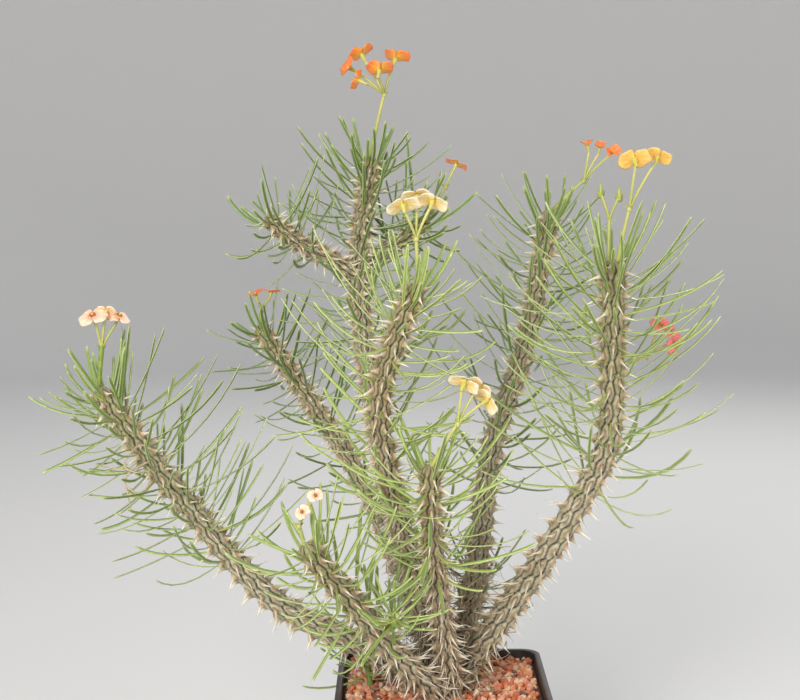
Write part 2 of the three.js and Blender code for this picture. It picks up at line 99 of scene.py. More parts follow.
# Each stem: route from the crown to the tip, radius at both ends, number of leaves,
# the share of the length where they begin, leaf length, painted light on the leaves
# (high where the crown is painted as lit, low where it is painted as shaded),
# length of a shield and of a spine, brownness.
STEMS = {
    "far_left": dict(
        route=[(-1, -2, 105), (-43, -14, 133), (-101, -26, 168), (-152, -38, 230), (-198, -45, 294)],
        radius=(6.6, 5.2), leaves=72, leafy_from=0.55, leaf_length=60, painted_light=0.5,
        shield=12.0, spine=11.0, brown=0.05,
    ),
    "right_front": dict(
        route=[(8, 4, 110), (47, -8, 169), (81, -18, 226), (97, -26, 265), (98, -34, 314), (97, -42, 367)],
        radius=(7.4, 5.8), leaves=72, leafy_from=0.5, leaf_length=75, painted_light=0.75,
        shield=13.0, spine=12.0, brown=0.3,
    ),
    "middle_front": dict(
        route=[(-1, -8, 112), (-20, -32, 194), (-35, -48, 260), (-37, -58, 296), (-27, -66, 334),
               (-18, -70, 356)],
        radius=(6.0, 5.0), leaves=64, leafy_from=0.45, leaf_length=62, painted_light=0.95,
        shield=11.0, spine=10.5, brown=0.75,
    ),
    "low_front_left": dict(
        route=[(2, -22, 107), (-23, -48, 137), (-52, -72, 177), (-77, -88, 212)],
        radius=(6.6, 5.4), leaves=40, leafy_from=0.45, leaf_length=52, painted_light=0.9,
        shield=11.5, spine=10.5, brown=0.5,
    ),
    "short_front": dict(
        route=[(6, -20, 111), (-3, -52, 175), (-8, -68, 220), (-9, -80, 255)],
        radius=(5.8, 5.0), leaves=40, leafy_from=0.55, leaf_length=52, painted_light=0.85,
        shield=10.5, spine=9.5, brown=0.9,
    ),
    "right_back": dict(
        route=[(10, 16, 112), (24, 38, 181), (33, 55, 246), (56, 70, 315), (71, 84, 394)],
        radius=(6.4, 5.0), leaves=68, leafy_from=0.38, leaf_length=58, painted_light=0.3,
        shield=12.0, spine=10.5, brown=0.2,
    ),
    "tall_middle": dict(
        route=[(1, 8, 109), (-18, 22, 175), (-39, 38, 255), (-52, 52, 355), (-45, 60, 429)],
        radius=(6.0, 4.6), leaves=64, leafy_from=0.62, leaf_length=54, painted_light=0.25,
        shield=8.5, spine=9.5, brown=0.1,
    ),
    "left_back": dict(
        route=[(-3, 14, 112), (-23, 40, 164), (-55, 66, 231), (-117, 92, 319)],
        radius=(5.6, 4.6), leaves=52, leafy_from=0.45, leaf_length=50, painted_light=0.12,
        shield=9.5, spine=9.0, brown=0.3,
    ),
    "branch_left": dict(
        route=[(-53, 52, 358), (-70, 44, 369), (-88, 38, 379), (-106, 34, 393)],
        radius=(4.4, 4.0), leaves=24, leafy_from=0.45, leaf_length=46, painted_light=0.25,
        shield=8.0, spine=8.0, brown=0.4,
    ),
    "branch_right": dict(
        route=[(-51, 52, 362), (-36, 66, 373), (-23, 78, 381), (-10, 90, 389)],
        radius=(4.4, 4.0), leaves=20, leafy_from=0.45, leaf_length=44, painted_light=0.25,
        shield=8.0, spine=8.0, brown=0.4,
    ),
    "small_back": dict(
        route=[(9, 22, 112), (19, 40, 138), (27, 52, 169)],
        radius=(5.0, 4.2), leaves=16, leafy_from=0.45, leaf_length=42, painted_light=0.3,
        shield=9.5, spine=8.0, brown=0.5,
    ),
}

# Young shoots that are all leaves: one low on a stem, one in the gravel.
SHOOTS = {
    "side_shoot": dict(
        route=[(-32, -64.5, 160.5), (-29.5, -68.5, 166), (-28, -72, 172)],
        radius=(2.6, 2.0), leaves=12, leafy_from=0.2, leaf_length=40, painted_light=0.8,
    ),
    "seedling": dict(
        route=[(-44, -2, 106), (-45, -2, 114), (-46, -3, 122)],
        radius=(2.0, 1.4), leaves=8, leafy_from=0.3, leaf_length=44, painted_light=0.35,
    ),
}

# Each flower cluster: the start and the fork of its stalk, its colour, how steeply
# its bracts rise, and its heads: middle of the bracts, the way they face, their
# bearing and their radius. The heads under "more" are small or half hidden ones that
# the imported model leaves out.
CLUSTERS = {
    "far_left": dict(
        start=(-200, -46, 300), fork=(-198, -46, 322), colour="salmon", rise=0.12, green=1.0,
        heads=[((-202, -50, 341), (-0.1, -0.6, 0.75), 10, 4.9),
               ((-188.5, -42, 340), (0.4, -0.35, 0.9), 20, 4.3)],
        more=[((-195, -45, 344), (0.1, 0.6, 0.8), 0, 3.4)],
    ),
    "left_back": dict(
        start=(-119, 93, 322), fork=(-117, 91, 334), colour="orange", rise=0.7, green=0.6,
        heads=[((-120.5, 87, 343), (-0.3, -0.2, 1), 20, 3.4), ((-111.5, 95, 344), (0.3, 0.1, 1), -20, 3.6)],
        more=[],
    ),
    "tall_middle": dict(
        start=(-45, 60, 432), fork=(-36, 56, 472), colour="orange", rise=0.7, green=0.3,
        heads=[((-57, 52, 488), (-0.85, -0.4, 0.5), 80, 4.4), ((-39, 45, 486), (0.1, 0.6, 0.75), 10, 4.9),
               ((-50, 64, 497), (-0.35, 0.5, 0.8), 20, 4.9), ((-29, 60, 494), (0.35, 0.5, 0.8), -10, 4.9)],
        more=[((-51, 45, 480), (-0.6, 0.3, 0.3), 0, 3.8)],
    ),
    "branch_right": dict(
        start=(-8, 91, 391), fork=(4, 95, 414), colour="orange", rise=0.25, green=0.3,
        heads=[((11, 97, 429), (0.4, 0.3, 0.9), 10, 4.4)],
        more=[],
    ),
    "middle_front": dict(
        start=(-16, -71, 360), fork=(-17, -74, 386), colour="peach", rise=0.08, green=0.2,
        heads=[((-24.5, -79, 405), (-0.2, 0.55, 0.8), 5, 5.6), ((-8, -71, 407), (0.25, 0.55, 0.8), 15, 5.4)],
        more=[((-16.5, -64, 410), (0, 0.5, 0.85), -10, 5.4)],
    ),
    "short_front": dict(
        start=(-9, -81, 258), fork=(6, -86, 284), colour="peach", rise=0.08, green=0.2,
        heads=[((9.5, -87, 307), (0.35, 0.6, 0.7), 15, 5.2),
               ((22.5, -79, 296.5), (0.7, 0.55, 0.45), 15, 5.2)],
        more=[((18.5, -76, 304), (0.55, 0.6, 0.6), 20, 4.8)],
    ),
    "right_back": dict(
        start=(72, 85, 397), fork=(94, 88, 418), colour="orange", rise=1.2, green=0.4,
        heads=[((96, 86, 440), (-0.2, -0.1, 1), 10, 2.7), ((112, 91, 436), (0.3, -0.9, 0.5), 30, 2.9)],
        more=[((104, 89, 439), (0.2, -0.2, 1), 70, 2.5)],
    ),
    "right_front": dict(
        start=(99, -43, 371), fork=(105, -46, 402), colour="apricot", rise=0.25, green=0.3,
        heads=[((107, -50, 430), (-0.1, 0.75, 0.65), 0, 5.4), ((122, -38, 432), (0.3, 0.6, 0.75), 10, 4.8)],
        more=[],
    ),
    "low_front_left": dict(
        start=(-79, -89, 215), fork=(-82, -93, 228), colour="salmon", rise=0.12, green=0.4,
        heads=[((-79.5, -103, 238), (-0.15, -1, 0.3), 35, 2.7),
               ((-72.5, -100, 246.5), (0.1, -1, 0.3), 20, 2.7)],
        more=[],
    ),
    "right_side": dict(
        start=(103, -32, 308), fork=(124, 0, 312), colour="coral", rise=0.3, green=0.2,
        heads=[((132, 4, 331), (0.2, -0.7, 0.7), 20, 4.0), ((141.5, 9, 319), (0.6, -0.8, 0), 80, 4.2)],
        more=[((138, 2, 327), (0.6, -0.7, 0.5), 60, 3.0)],
    ),
}

BUD_STALK = dict(start=(94, -41, 370), fork=(95, -36, 396), buds=[(90, -34, 411), (101, -32, 409)])

# Dry old flower stalks that hang in curls from the far left stem.
DRY_CURLS = [
    [(-168, -46, 262), (-176, -50, 266), (-182, -54, 261), (-184, -57, 255), (-178, -59, 252),
     (-170, -56, 252)],
    [(-172, -48, 256), (-180, -55, 253), (-188, -58, 254), (-196, -58, 255), (-200, -58, 256)],
    [(-180, -56, 253), (-184, -58, 247), (-182, -60, 240), (-181, -60, 233), (-180, -60, 229)],
    [(-182, -59, 243), (-177, -60, 240), (-172, -58, 242), (-170, -56, 247), (-172, -54, 251)],
]

# The dry fibres start at these least and greatest distances from the axis, at most rise
# above foot and mostly low down. Each takes three random steps and stays above lowest.
DRY_FIBRES = dict(count=430, nearest=6, furthest=33, foot=108, rise=95, lowest=109, step=(6, 6, 5))
# The woody crown: radius and height up its outline, and its shields.
CROWN = dict(
    outline=[(0.5, 60), (9, 62), (16, 78), (20, 98), (18, 111), (10, 117), (0.5, 119)],
    columns=13, shield=14.0,
)

BRACT_COLOURS = {  # middle, edge and foot of the underside
    "salmon": ((0.88, 0.2, 0.1), (0.97, 0.62, 0.46), (0.95, 0.6, 0.34)),
    "orange": ((0.86, 0.28, 0.03), (0.88, 0.2, 0.06), (0.72, 0.46, 0.05)),
    "peach": ((0.95, 0.5, 0.17), (0.99, 0.76, 0.54), (0.94, 0.58, 0.12)),
    "apricot": ((0.96, 0.42, 0.08), (0.98, 0.54, 0.17), (0.96, 0.48, 0.08)),
    "coral": ((0.84, 0.05, 0.03), (0.94, 0.24, 0.22), (0.9, 0.34, 0.1)),
}


# ------------------------------------------------------------------ settings a user would change

class EuphorbiaPlantSettings(bpy.types.PropertyGroup):
    """Sizes of what grows on the stems."""

    ring_step: bpy.props.FloatProperty(
        name="Bark step", description="Distance between two rings of the bark", default=0.8 * MM,
        min=0.2 * MM, unit="LENGTH")
    bark_sides: bpy.props.IntProperty(
        name="Bark sides", description="Points round a stem", default=80, min=12)
    shield_relief: bpy.props.FloatProperty(
        name="Shield relief", description="How far a spine shield stands out of the bark",
        default=1.0 * MM, unit="LENGTH")
    leaf_width: bpy.props.FloatProperty(
        name="Leaf width", description="Width of a full-grown leaf", default=2.1 * MM, unit="LENGTH")
    leaf_thickness: bpy.props.FloatProperty(
        name="Leaf thickness", description="Thickness of a leaf at its middle", default=1.0 * MM,
        unit="LENGTH")
    companion_share: bpy.props.FloatProperty(
        name="Companion leaves", description="Share of leaves with a second leaf from the same seat",
        default=0.75, min=0, max=1, subtype="FACTOR")
    base_spine: bpy.props.FloatProperty(
        name="Base spine", description="Length of the longest spines near the foot of a stem",
        default=13 * MM, unit="LENGTH")


class EuphorbiaFlowerSettings(bpy.types.PropertyGroup):
    """Sizes of the flower stalks, cups and bracts."""

    stalk_radius: bpy.props.FloatProperty(
        name="Stalk radius", description="Radius of a flower stalk at its foot", default=1.15 * MM,
        unit="LENGTH")
    bract_thickness: bpy.props.FloatProperty(
        name="Bract thickness", description="Thickness of a bract at its middle", default=0.55 * MM,
        unit="LENGTH")
    cup_height: bpy.props.FloatProperty(
        name="Cup height", description="Height of the cup under two bracts", default=4.5 * MM,
        unit="LENGTH")
    cup_radius: bpy.props.FloatProperty(
        name="Cup radius", description="Radius of the mouth of a cup", default=1.8 * MM, unit="LENGTH")


class EuphorbiaPotSettings(bpy.types.PropertyGroup):
    """Sizes of the pot and its gravel."""

    wall: bpy.props.FloatProperty(
        name="Wall", description="Thickness of the pot's wall", default=1.6 * MM, unit="LENGTH")
    rim_depth: bpy.props.FloatProperty(
        name="Rim depth", description="Height of the band round the rim", default=12 * MM, unit="LENGTH")
    drain_hole: bpy.props.FloatProperty(
        name="Drain hole", description="Diameter of a drain hole", default=8 * MM, unit="LENGTH")
    grain: bpy.props.FloatProperty(
        name="Gravel grain", description="Mean diameter of a gravel grain", default=4.7 * MM,
        unit="LENGTH")
    plastic_colour: bpy.props.FloatVectorProperty(
        name="Plastic", description="Colour of the pot", default=(0.012, 0.012, 0.014), size=3,
        subtype="COLOR")


class EuphorbiaStageSettings(bpy.types.PropertyGroup):
    """The floor and the camera."""

    floor_colour: bpy.props.FloatVectorProperty(
        name="Floor", description="Colour of the floor and its backdrop", default=(0.8, 0.79, 0.77),
        size=3, subtype="COLOR")
    floor_radius: bpy.props.FloatProperty(
        name="Floor radius", description="Radius of the flat floor", default=2.6, unit="LENGTH")
    camera_place: bpy.props.FloatVectorProperty(
        name="Camera place", description="Where the camera stands", default=(-0.026, -0.975, 0.418),
        size=3, subtype="TRANSLATION")
    camera_pitch: bpy.props.FloatProperty(
        name="Camera pitch", description="How far the camera looks down", default=math.radians(5.96),
        subtype="ANGLE")
    camera_lens: bpy.props.FloatProperty(
        name="Camera lens", description="Focal length in millimetres", default=72.9)


# ------------------------------------------------------------------ curves and closed surfaces

def unit(vectors):
    """Vectors divided by their own lengths."""
    return vectors / np.maximum(np.linalg.norm(vectors, axis=-1, keepdims=True), 1e-12)


def spline(points, count):
    """Points evenly spaced along a Catmull-Rom curve: each span is the cubic that
    leaves and reaches its ends in the direction of the points on either side."""
    knots = np.asarray(points, float)
    knots = np.concatenate([[2 * knots[0] - knots[1]], knots, [2 * knots[-1] - knots[-2]]])
    t = np.linspace(0, 1, 40, endpoint=False)[:, None]
    before, here, after, beyond = knots[:-3, None], knots[1:-2, None], knots[2:-1, None], knots[3:, None]
    fine = 0.5 * (
        2 * here + (after - before) * t + (2 * before - 5 * here + 4 * after - beyond) * t**2
        + (3 * here - before - 3 * after + beyond) * t**3
    )
    fine = np.concatenate([fine.reshape(-1, 3), knots[-2:-1]])
    along = np.concatenate([[0], np.cumsum(np.linalg.norm(np.diff(fine, axis=0), axis=1))])
    even = np.linspace(0, along[-1], count)
    return np.stack([np.interp(even, along, fine[:, axis]) for axis in range(3)], axis=1)


def frames(path):
    """Direction of a path at each point, the direction square to it that is nearest
    to the back, and the direction square to both."""
    along = unit(np.gradient(path, axis=0))
    back = unit(BACK - (along @ BACK)[:, None] * along)
    return along, back, np.cross(along, back)


def smooth(low, high, value):
    """0 below low, 1 above high, with a soft S between them."""
    t = np.clip((value - low) / (high - low), 0, 1)
    return t * t * (3 - 2 * t)


class Skin:
    """Points, faces and per-point values of one piece, gathered part by part."""

    def __init__(self):
        self.points, self.quads, self.triangles, self.values, self.total = [], [], [], {}, 0

    def add(self, points, quads, triangles, values):
        """Adds a part whose faces count from its own first point."""
        self.points.append(points)
        self.quads.append(quads + self.total)
        self.triangles.append(triangles + self.total)
        for name, value in values.items():
            self.values.setdefault(name, []).append(value)
        self.total += len(points)

    def closed_strips(self, rings, first, last, **values):
        """Closed bodies from rings of points: rings is (bodies, rings, sides, 3), and
        first and last, (bodies, 3), close each body's two ends. Each value is given
        for every ring point, and an end takes the mean of the ring beside it."""
        bodies, rows, sides, _ = rings.shape
        row = (np.arange(rows - 1) * sides)[:, None]
        here = np.arange(sides)
        after = np.roll(here, -1)
        quads = np.stack([row + here, row + after, row + after + sides, row + here + sides], -1)
        foot = np.stack([after, here, np.full(sides, rows * sides)], -1)
        top = (rows - 1) * sides
        head = np.stack([top + here, top + after, np.full(sides, rows * sides + 1)], -1)
        triangles = np.concatenate([foot, head])
        points = np.concatenate([rings.reshape(bodies, -1, 3), first[:, None], last[:, None]], axis=1)
        offsets = (np.arange(bodies) * (rows * sides + 2))[:, None, None]
        quads = (quads.reshape(1, -1, 4) + offsets).reshape(-1, 4)
        triangles = (triangles.reshape(1, -1, 3) + offsets).reshape(-1, 3)
        points = points.reshape(-1, 3)
        if signed_volume(points, quads) < 0:
            quads, triangles = quads[:, ::-1], triangles[:, ::-1]
        filled = {}
        for name, value in values.items():
            value = np.broadcast_to(value, (bodies, rows, sides))
            ends = [value[:, :1].mean(-1), value[:, -1:].mean(-1)]
            filled[name] = np.concatenate([value.reshape(bodies, -1), *ends], axis=1).ravel()
        self.add(points, quads, triangles, filled)

    def make(self, name, material, slot, *nodes, shade_smooth=True):
        """The finished piece: a mesh object that rides on the body."""
        mesh = bpy.data.meshes.new(name)
        quads, triangles = np.concatenate(self.quads), np.concatenate(self.triangles)
        corners = np.concatenate([quads.ravel(), triangles.ravel()])
        starts = np.concatenate([np.arange(len(quads)) * 4, 4 * len(quads) + np.arange(len(triangles)) * 3])
        mesh.vertices.add(self.total)
        mesh.vertices.foreach_set("co", np.concatenate(self.points).astype(np.float32).ravel())
        mesh.loops.add(len(corners))
        mesh.loops.foreach_set("vertex_index", corners.astype(np.int32))
        mesh.polygons.add(len(starts))
        mesh.polygons.foreach_set("loop_start", starts.astype(np.int32))
        mesh.polygons.foreach_set("use_smooth", np.full(len(starts), shade_smooth))
        for key, value in self.values.items():
            layer = mesh.attributes.new(key, "FLOAT", "POINT")
            layer.data.foreach_set("value", np.concatenate(value).astype(np.float32))
        mesh.update(calc_edges=True)
        if mesh.validate():
            raise RuntimeError(f"{name} has faces that don't hold together")
        mesh.materials.append(material)
        piece = bpy.data.objects.new(name, mesh)
        bpy.context.scene.collection.objects.link(piece)
        return own(piece, slot, *nodes)


def own(piece, slot, *nodes):
    """Puts a piece on the body and hides the CAD nodes that it stands for; slot is not used."""
    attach(piece, BODY)
    if nodes:
        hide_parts(*nodes)
    return piece


def signed_volume(points, quads):
    """Sum of the tetrahedra between the origin of the body and its faces: above 0
    where the faces point outwards. The two ends are small and are left out."""
    middle = points.mean(axis=0)
    a, b, c, d = (points[quads[:, i]] - middle for i in range(4))
    return np.einsum("ij,ij->", a, np.cross(b, c)) + np.einsum("ij,ij->", a, np.cross(c, d))


def round_angles(sides):
    """Angles evenly spaced round a circle."""
    return np.arange(sides) * 2 * np.pi / sides


def circle(sides):
    """Cosines and sines of angles evenly spaced round a circle."""
    angle = round_angles(sides)
    return np.cos(angle), np.sin(angle)


def add_tube(skin, path, radius, sides, **values):
    """A round tube: at each path point, a circle square to the path whose radius is
    given there, closed at both ends by a point half a radius further on."""
    along, back, across = frames(path)
    cosine, sine = circle(sides)
    radius = np.broadcast_to(radius, len(path))[:, None, None]
    rings = path[:, None] + radius * (across[:, None] * cosine[:, None] + back[:, None] * sine[:, None])
    first = path[:1] - 0.5 * radius[0] * along[:1]
    last = path[-1:] + 0.5 * radius[-1] * along[-1:]
    share = np.linspace(0, 1, len(path))[None, :, None]
    skin.closed_strips(rings[None], first, last, share=share, **values)


# ------------------------------------------------------------------ shader building

def add_node(tree, kind, inputs=None, **settings):
    """A new node with its settings; an input is a value, or a socket to link from."""
    node = tree.nodes.new(kind)
    for name, value in settings.items():
        setattr(node, name, value)
    for name, value in (inputs or {}).items():
        if isinstance(value, bpy.types.NodeSocket):
            tree.links.new(value, node.inputs[name])
        else:
            node.inputs[name].default_value = value
    return node


def attribute(tree, name):
    """The value of a per-point attribute."""
    return add_node(tree, "ShaderNodeAttribute", attribute_name=name).outputs["Fac"]


def mix_colours(tree, factor, a, b, blend="MIX"):
    """The colour that a factor picks between a and b."""
    node = add_node(tree, "ShaderNodeMix", data_type="RGBA", blend_type=blend)
    for socket, value in ((node.inputs[0], factor), (node.inputs[6], a), (node.inputs[7], b)):
        if isinstance(value, bpy.types.NodeSocket):
            tree.links.new(value, socket)
        elif isinstance(value, (int, float)):
            socket.default_value = value
        else:
            socket.default_value = (*value, 1)
    return node.outputs[2]


def ramp(tree, value, low, high):
    """A value stretched so that low gives 0 and high gives 1."""
    inputs = {"Value": value, "From Min": low, "From Max": high}
    return add_node(tree, "ShaderNodeMapRange", inputs, clamp=True).outputs["Result"]


def math_node(tree, operation, a, b):
    """One operation on two numbers."""
    return add_node(tree, "ShaderNodeMath", {0: a, 1: b}, operation=operation).outputs[0]


def new_group(name, inputs, outputs):
    """An empty node group with named inputs and outputs, and its two end nodes."""
    tree = bpy.data.node_groups.new(name, "ShaderNodeTree")
    for label, kind, default in inputs:
        socket = tree.interface.new_socket(label, in_out="INPUT", socket_type=kind)
        socket.default_value = default
    for label, kind in outputs:
        tree.interface.new_socket(label, in_out="OUTPUT", socket_type=kind)
    return tree, tree.nodes.new("NodeGroupInput"), tree.nodes.new("NodeGroupOutput")


def noise(tree, scale, detail, roughness=0.5):
    """Cloudy noise in the piece's own space."""
    place = add_node(tree, "ShaderNodeTexCoord").outputs["Object"]
    inputs = {"Vector": place, "Scale": scale, "Detail": detail, "Roughness": roughness}
    return add_node(tree, "ShaderNodeTexNoise", inputs).outputs["Fac"]


def mottle_group():
    """Two colours in soft patches, with finer specks of the second one."""
    name = "Mottle"
    if name in bpy.data.node_groups:
        return bpy.data.node_groups[name]
    tree, start, end = new_group(
        name,
        [("Base", "NodeSocketColor", (0.5, 0.5, 0.5, 1)), ("Patch", "NodeSocketColor", (0.3, 0.3, 0.3, 1)),
         ("Scale", "NodeSocketFloat", 100.0), ("Amount", "NodeSocketFloat", 0.5)],
        [("Color", "NodeSocketColor"), ("Mask", "NodeSocketFloat")],
    )
    finer = math_node(tree, "MULTIPLY", start.outputs["Scale"], 5.3)
    patches = ramp(tree, noise(tree, start.outputs["Scale"], 4.0, 0.6), 0.4, 0.62)
    dots = ramp(tree, noise(tree, finer, 2.0), 0.52, 0.68)
    both = math_node(tree, "MAXIMUM", patches, math_node(tree, "MULTIPLY", dots, 0.6))
    mask = math_node(tree, "MULTIPLY", both, start.outputs["Amount"])
    colour = mix_colours(tree, mask, start.outputs["Base"], start.outputs["Patch"])
    tree.links.new(colour, end.inputs["Color"])
    tree.links.new(mask, end.inputs["Mask"])
    return tree


def grain_group():
    """A height pattern of fine grain over coarser lumps."""
    name = "Grain"
    if name in bpy.data.node_groups:
        return bpy.data.node_groups[name]
    tree, start, end = new_group(
        name,
        [("Scale", "NodeSocketFloat", 800.0), ("Lumps", "NodeSocketFloat", 0.5)],
        [("Height", "NodeSocketFloat")],
    )
    fine = noise(tree, start.outputs["Scale"], 5.0, 0.65)
    coarse = noise(tree, math_node(tree, "MULTIPLY", start.outputs["Scale"], 0.22), 2.0)
    lumps = math_node(tree, "MULTIPLY", coarse, start.outputs["Lumps"])
    tree.links.new(math_node(tree, "ADD", fine, lumps), end.inputs["Height"])
    return tree


def dust_group():
    """Pale dust that settles on faces that look up, broken up by noise."""
    name = "Dust"
    if name in bpy.data.node_groups:
        return bpy.data.node_groups[name]
    tree, start, end = new_group(
        name,
        [("Color", "NodeSocketColor", (0.5, 0.5, 0.5, 1)), ("Dust", "NodeSocketColor", (0.4, 0.36, 0.3, 1)),
         ("Amount", "NodeSocketFloat", 0.3), ("Scale", "NodeSocketFloat", 60.0)],
        [("Color", "NodeSocketColor"), ("Mask", "NodeSocketFloat")],
    )
    normal = add_node(tree, "ShaderNodeNewGeometry").outputs["Normal"]
    upwards = add_node(tree, "ShaderNodeSeparateXYZ", {"Vector": normal}).outputs["Z"]
    broken = ramp(tree, noise(tree, start.outputs["Scale"], 6.0, 0.7), 0.35, 0.7)
    settled = math_node(tree, "MULTIPLY", ramp(tree, upwards, -0.3, 1.0), broken)
    mask = math_node(tree, "MULTIPLY", settled, start.outputs["Amount"])
    colour = mix_colours(tree, mask, start.outputs["Color"], start.outputs["Dust"])
    tree.links.new(colour, end.inputs["Color"])
    tree.links.new(mask, end.inputs["Mask"])
    return tree


def add_group(tree, group, inputs):
    """A group node in a material, with its own values."""
    node = tree.nodes.new("ShaderNodeGroup")
    node.node_tree = group
    for name, value in inputs.items():
        if isinstance(value, bpy.types.NodeSocket):
            tree.links.new(value, node.inputs[name])
        elif isinstance(value, (int, float)):
            node.inputs[name].default_value = value
        else:
            node.inputs[name].default_value = (*value, 1)
    return node


def new_material(name):
    """A material with a plain Principled shader, and its tree and shader."""
    material = bpy.data.materials.new(name)
    material.use_nodes = True
    tree = material.node_tree
    return material, tree, tree.nodes["Principled BSDF"]


def add_bump(tree, shader, height, distance, strength=1.0):
    """A bump of a height pattern, on the shader's Normal."""
    bump = add_node(tree, "ShaderNodeBump", {"Height": height, "Distance": distance, "Strength": strength})
    tree.links.new(bump.outputs["Normal"], shader.inputs["Normal"])


# ------------------------------------------------------------------ materials

def mix_value(tree, factor, low, high):
    """A number that a factor picks between low and high."""
    inputs = {"Value": factor, "To Min": low, "To Max": high}
    return add_node(tree, "ShaderNodeMapRange", inputs, clamp=True).outputs["Result"]


def mottled(tree, base, patch, scale, amount):
    """A base colour with patches and specks of another, and where they lie."""
    inputs = {"Base": base, "Patch": patch, "Scale": scale, "Amount": amount}
    node = add_group(tree, mottle_group(), inputs)
    return node.outputs["Color"], node.outputs["Mask"]


def dusted(tree, colour, dust, amount, scale):
    """A colour under dust, and where the dust lies."""
    inputs = {"Color": colour, "Dust": dust, "Amount": amount, "Scale": scale}
    node = add_group(tree, dust_group(), inputs)
    return node.outputs["Color"], node.outputs["Mask"]


def finish(tree, shader, colour, mask, roughness, grain=None):
    """Links a colour, the roughness that a mask picks between two, and a bump of
    grain given by its scale, its lumps and its depth."""
    tree.links.new(colour, shader.inputs["Base Color"])
    tree.links.new(mix_value(tree, mask, *roughness), shader.inputs["Roughness"])
    if grain:
        scale, lumps, depth = grain
        height = add_group(tree, grain_group(), {"Scale": scale, "Lumps": lumps}).outputs["Height"]
        add_bump(tree, shader, height, depth)


def let_light_in(shader, weight, radius):
    """Light that scatters under the surface: how much, and how far in each colour."""
    shader.inputs["Subsurface Weight"].default_value = weight
    shader.inputs["Subsurface Radius"].default_value = radius


BARK_TONES = (  # what a bark point's value stands for, how far it moves the colour, and towards what
    ("tint", 0.45, (0.58, 0.53, 0.37)),
    ("young", 0.6, (0.25, 0.24, 0.08)),
    # under: painted shade below the boss of each shield, under its spine
    ("under", 0.75, (0.12, 0.07, 0.035)),
    ("boss", 0.7, (0.36, 0.25, 0.14)),
    # crease: painted shade in the crease between two shields of one column
    ("crease", 0.55, (0.06, 0.04, 0.02)),
    # groove: painted shade, near-black, in the groove between two columns
    ("groove", 1.0, (0.006, 0.005, 0.004)),
)


def bark_material(name, brown):
    """Grey-tan shields, browner or greener by age, with painted shade: near-black in the
    grooves between the columns, brown in the creases between shields and red-brown below a spine."""
    material, tree, shader = new_material(name)
    pale = mix_colours(tree, brown, (0.52, 0.5, 0.35), (0.46, 0.34, 0.22))
    warm = mix_colours(tree, brown, (0.25, 0.23, 0.12), (0.2, 0.1, 0.05))
    colour, mask = mottled(tree, pale, warm, 260.0, 0.8)
    for kind, amount, tone in BARK_TONES:
        share = math_node(tree, "MULTIPLY", attribute(tree, kind), amount)
        colour = mix_colours(tree, share, colour, tone)
    colour, _ = dusted(tree, colour, (0.5, 0.46, 0.36), 0.12, 150.0)
    finish(tree, shader, colour, mask, (0.62, 0.85), (1500.0, 0.8, 0.3 * MM))
    return material


def spine_material():
    """Brown or olive at the foot, straw along the spine and near-white at its point."""
    material, tree, shader = new_material("spine")
    share = attribute(tree, "share")
    foot = mix_colours(tree, attribute(tree, "tint"), (0.36, 0.31, 0.18), (0.32, 0.17, 0.1))
    body = mix_colours(tree, ramp(tree, share, 0.02, 0.3), foot, (0.62, 0.53, 0.37))
    tip = mix_colours(tree, ramp(tree, share, 0.2, 0.6), body, (0.9, 0.85, 0.72))
    colour, _ = mottled(tree, tip, (0.3, 0.19, 0.11), 420.0, 0.25)
    finish(tree, shader, colour, share, (0.7, 0.4), (2500.0, 0.4, 0.1 * MM))
    return material


def leaf_material(name, painted_light):
    """Dark green to yellow-green by the painted light of the crown: lighter where it is
    painted as lit, darker where it is painted as shaded. The edges are painted pale as a
    highlight, which leaves the channel darker; the tip is pale, partly its own colour and
    partly a painted highlight; the foot is yellower."""
    material, tree, shader = new_material(name)
    tint, share, edge = attribute(tree, "tint"), attribute(tree, "share"), attribute(tree, "edge")
    # dark and light: the two ends of a leaf's own tone, each lighter or darker by the crown's painted light
    dark = mix_colours(tree, painted_light, (0.02, 0.07, 0.014), (0.09, 0.19, 0.014))
    light = mix_colours(tree, painted_light, (0.08, 0.17, 0.03), (0.28, 0.4, 0.045))
    blade = mix_colours(tree, tint, dark, light)
    # painted highlight along the leaf edges, paler where the crown is painted as lit
    rim = mix_colours(tree, painted_light, (0.38, 0.48, 0.2), (0.72, 0.76, 0.36))
    channel = mix_colours(tree, ramp(tree, edge, 0.15, 0.95), blade, rim)
    foot = mix_colours(tree, ramp(tree, share, 0.16, 0.0), channel, (0.5, 0.5, 0.08))
    # pale tip: partly the leaf's own colour, partly a painted highlight
    end = mix_colours(tree, ramp(tree, share, 0.9, 1.0), foot, (0.6, 0.62, 0.3))
    colour, mask = mottled(tree, end, (0.2, 0.3, 0.06), 300.0, 0.3)
    let_light_in(shader, 0.15, (0.002, 0.003, 0.0006))
    shader.inputs["Coat Weight"].default_value = 0.15
    finish(tree, shader, colour, mask, (0.38, 0.55), (1800.0, 0.5, 0.08 * MM))
    return material


def stalk_material():
    """Pale yellow-green, or leaf green on the greener stalks, paler towards the fork."""
    material, tree, shader = new_material("flower_stalk_skin")
    yellow = mix_colours(tree, attribute(tree, "share"), (0.4, 0.43, 0.09), (0.6, 0.57, 0.24))
    skin = mix_colours(tree, attribute(tree, "green"), yellow, (0.16, 0.27, 0.03))
    colour, mask = mottled(tree, skin, (0.58, 0.46, 0.14), 220.0, 0.35)
    let_light_in(shader, 0.15, (0.002, 0.002, 0.0005))
    finish(tree, shader, colour, mask, (0.4, 0.6), (1400.0, 0.5, 0.1 * MM))
    return material


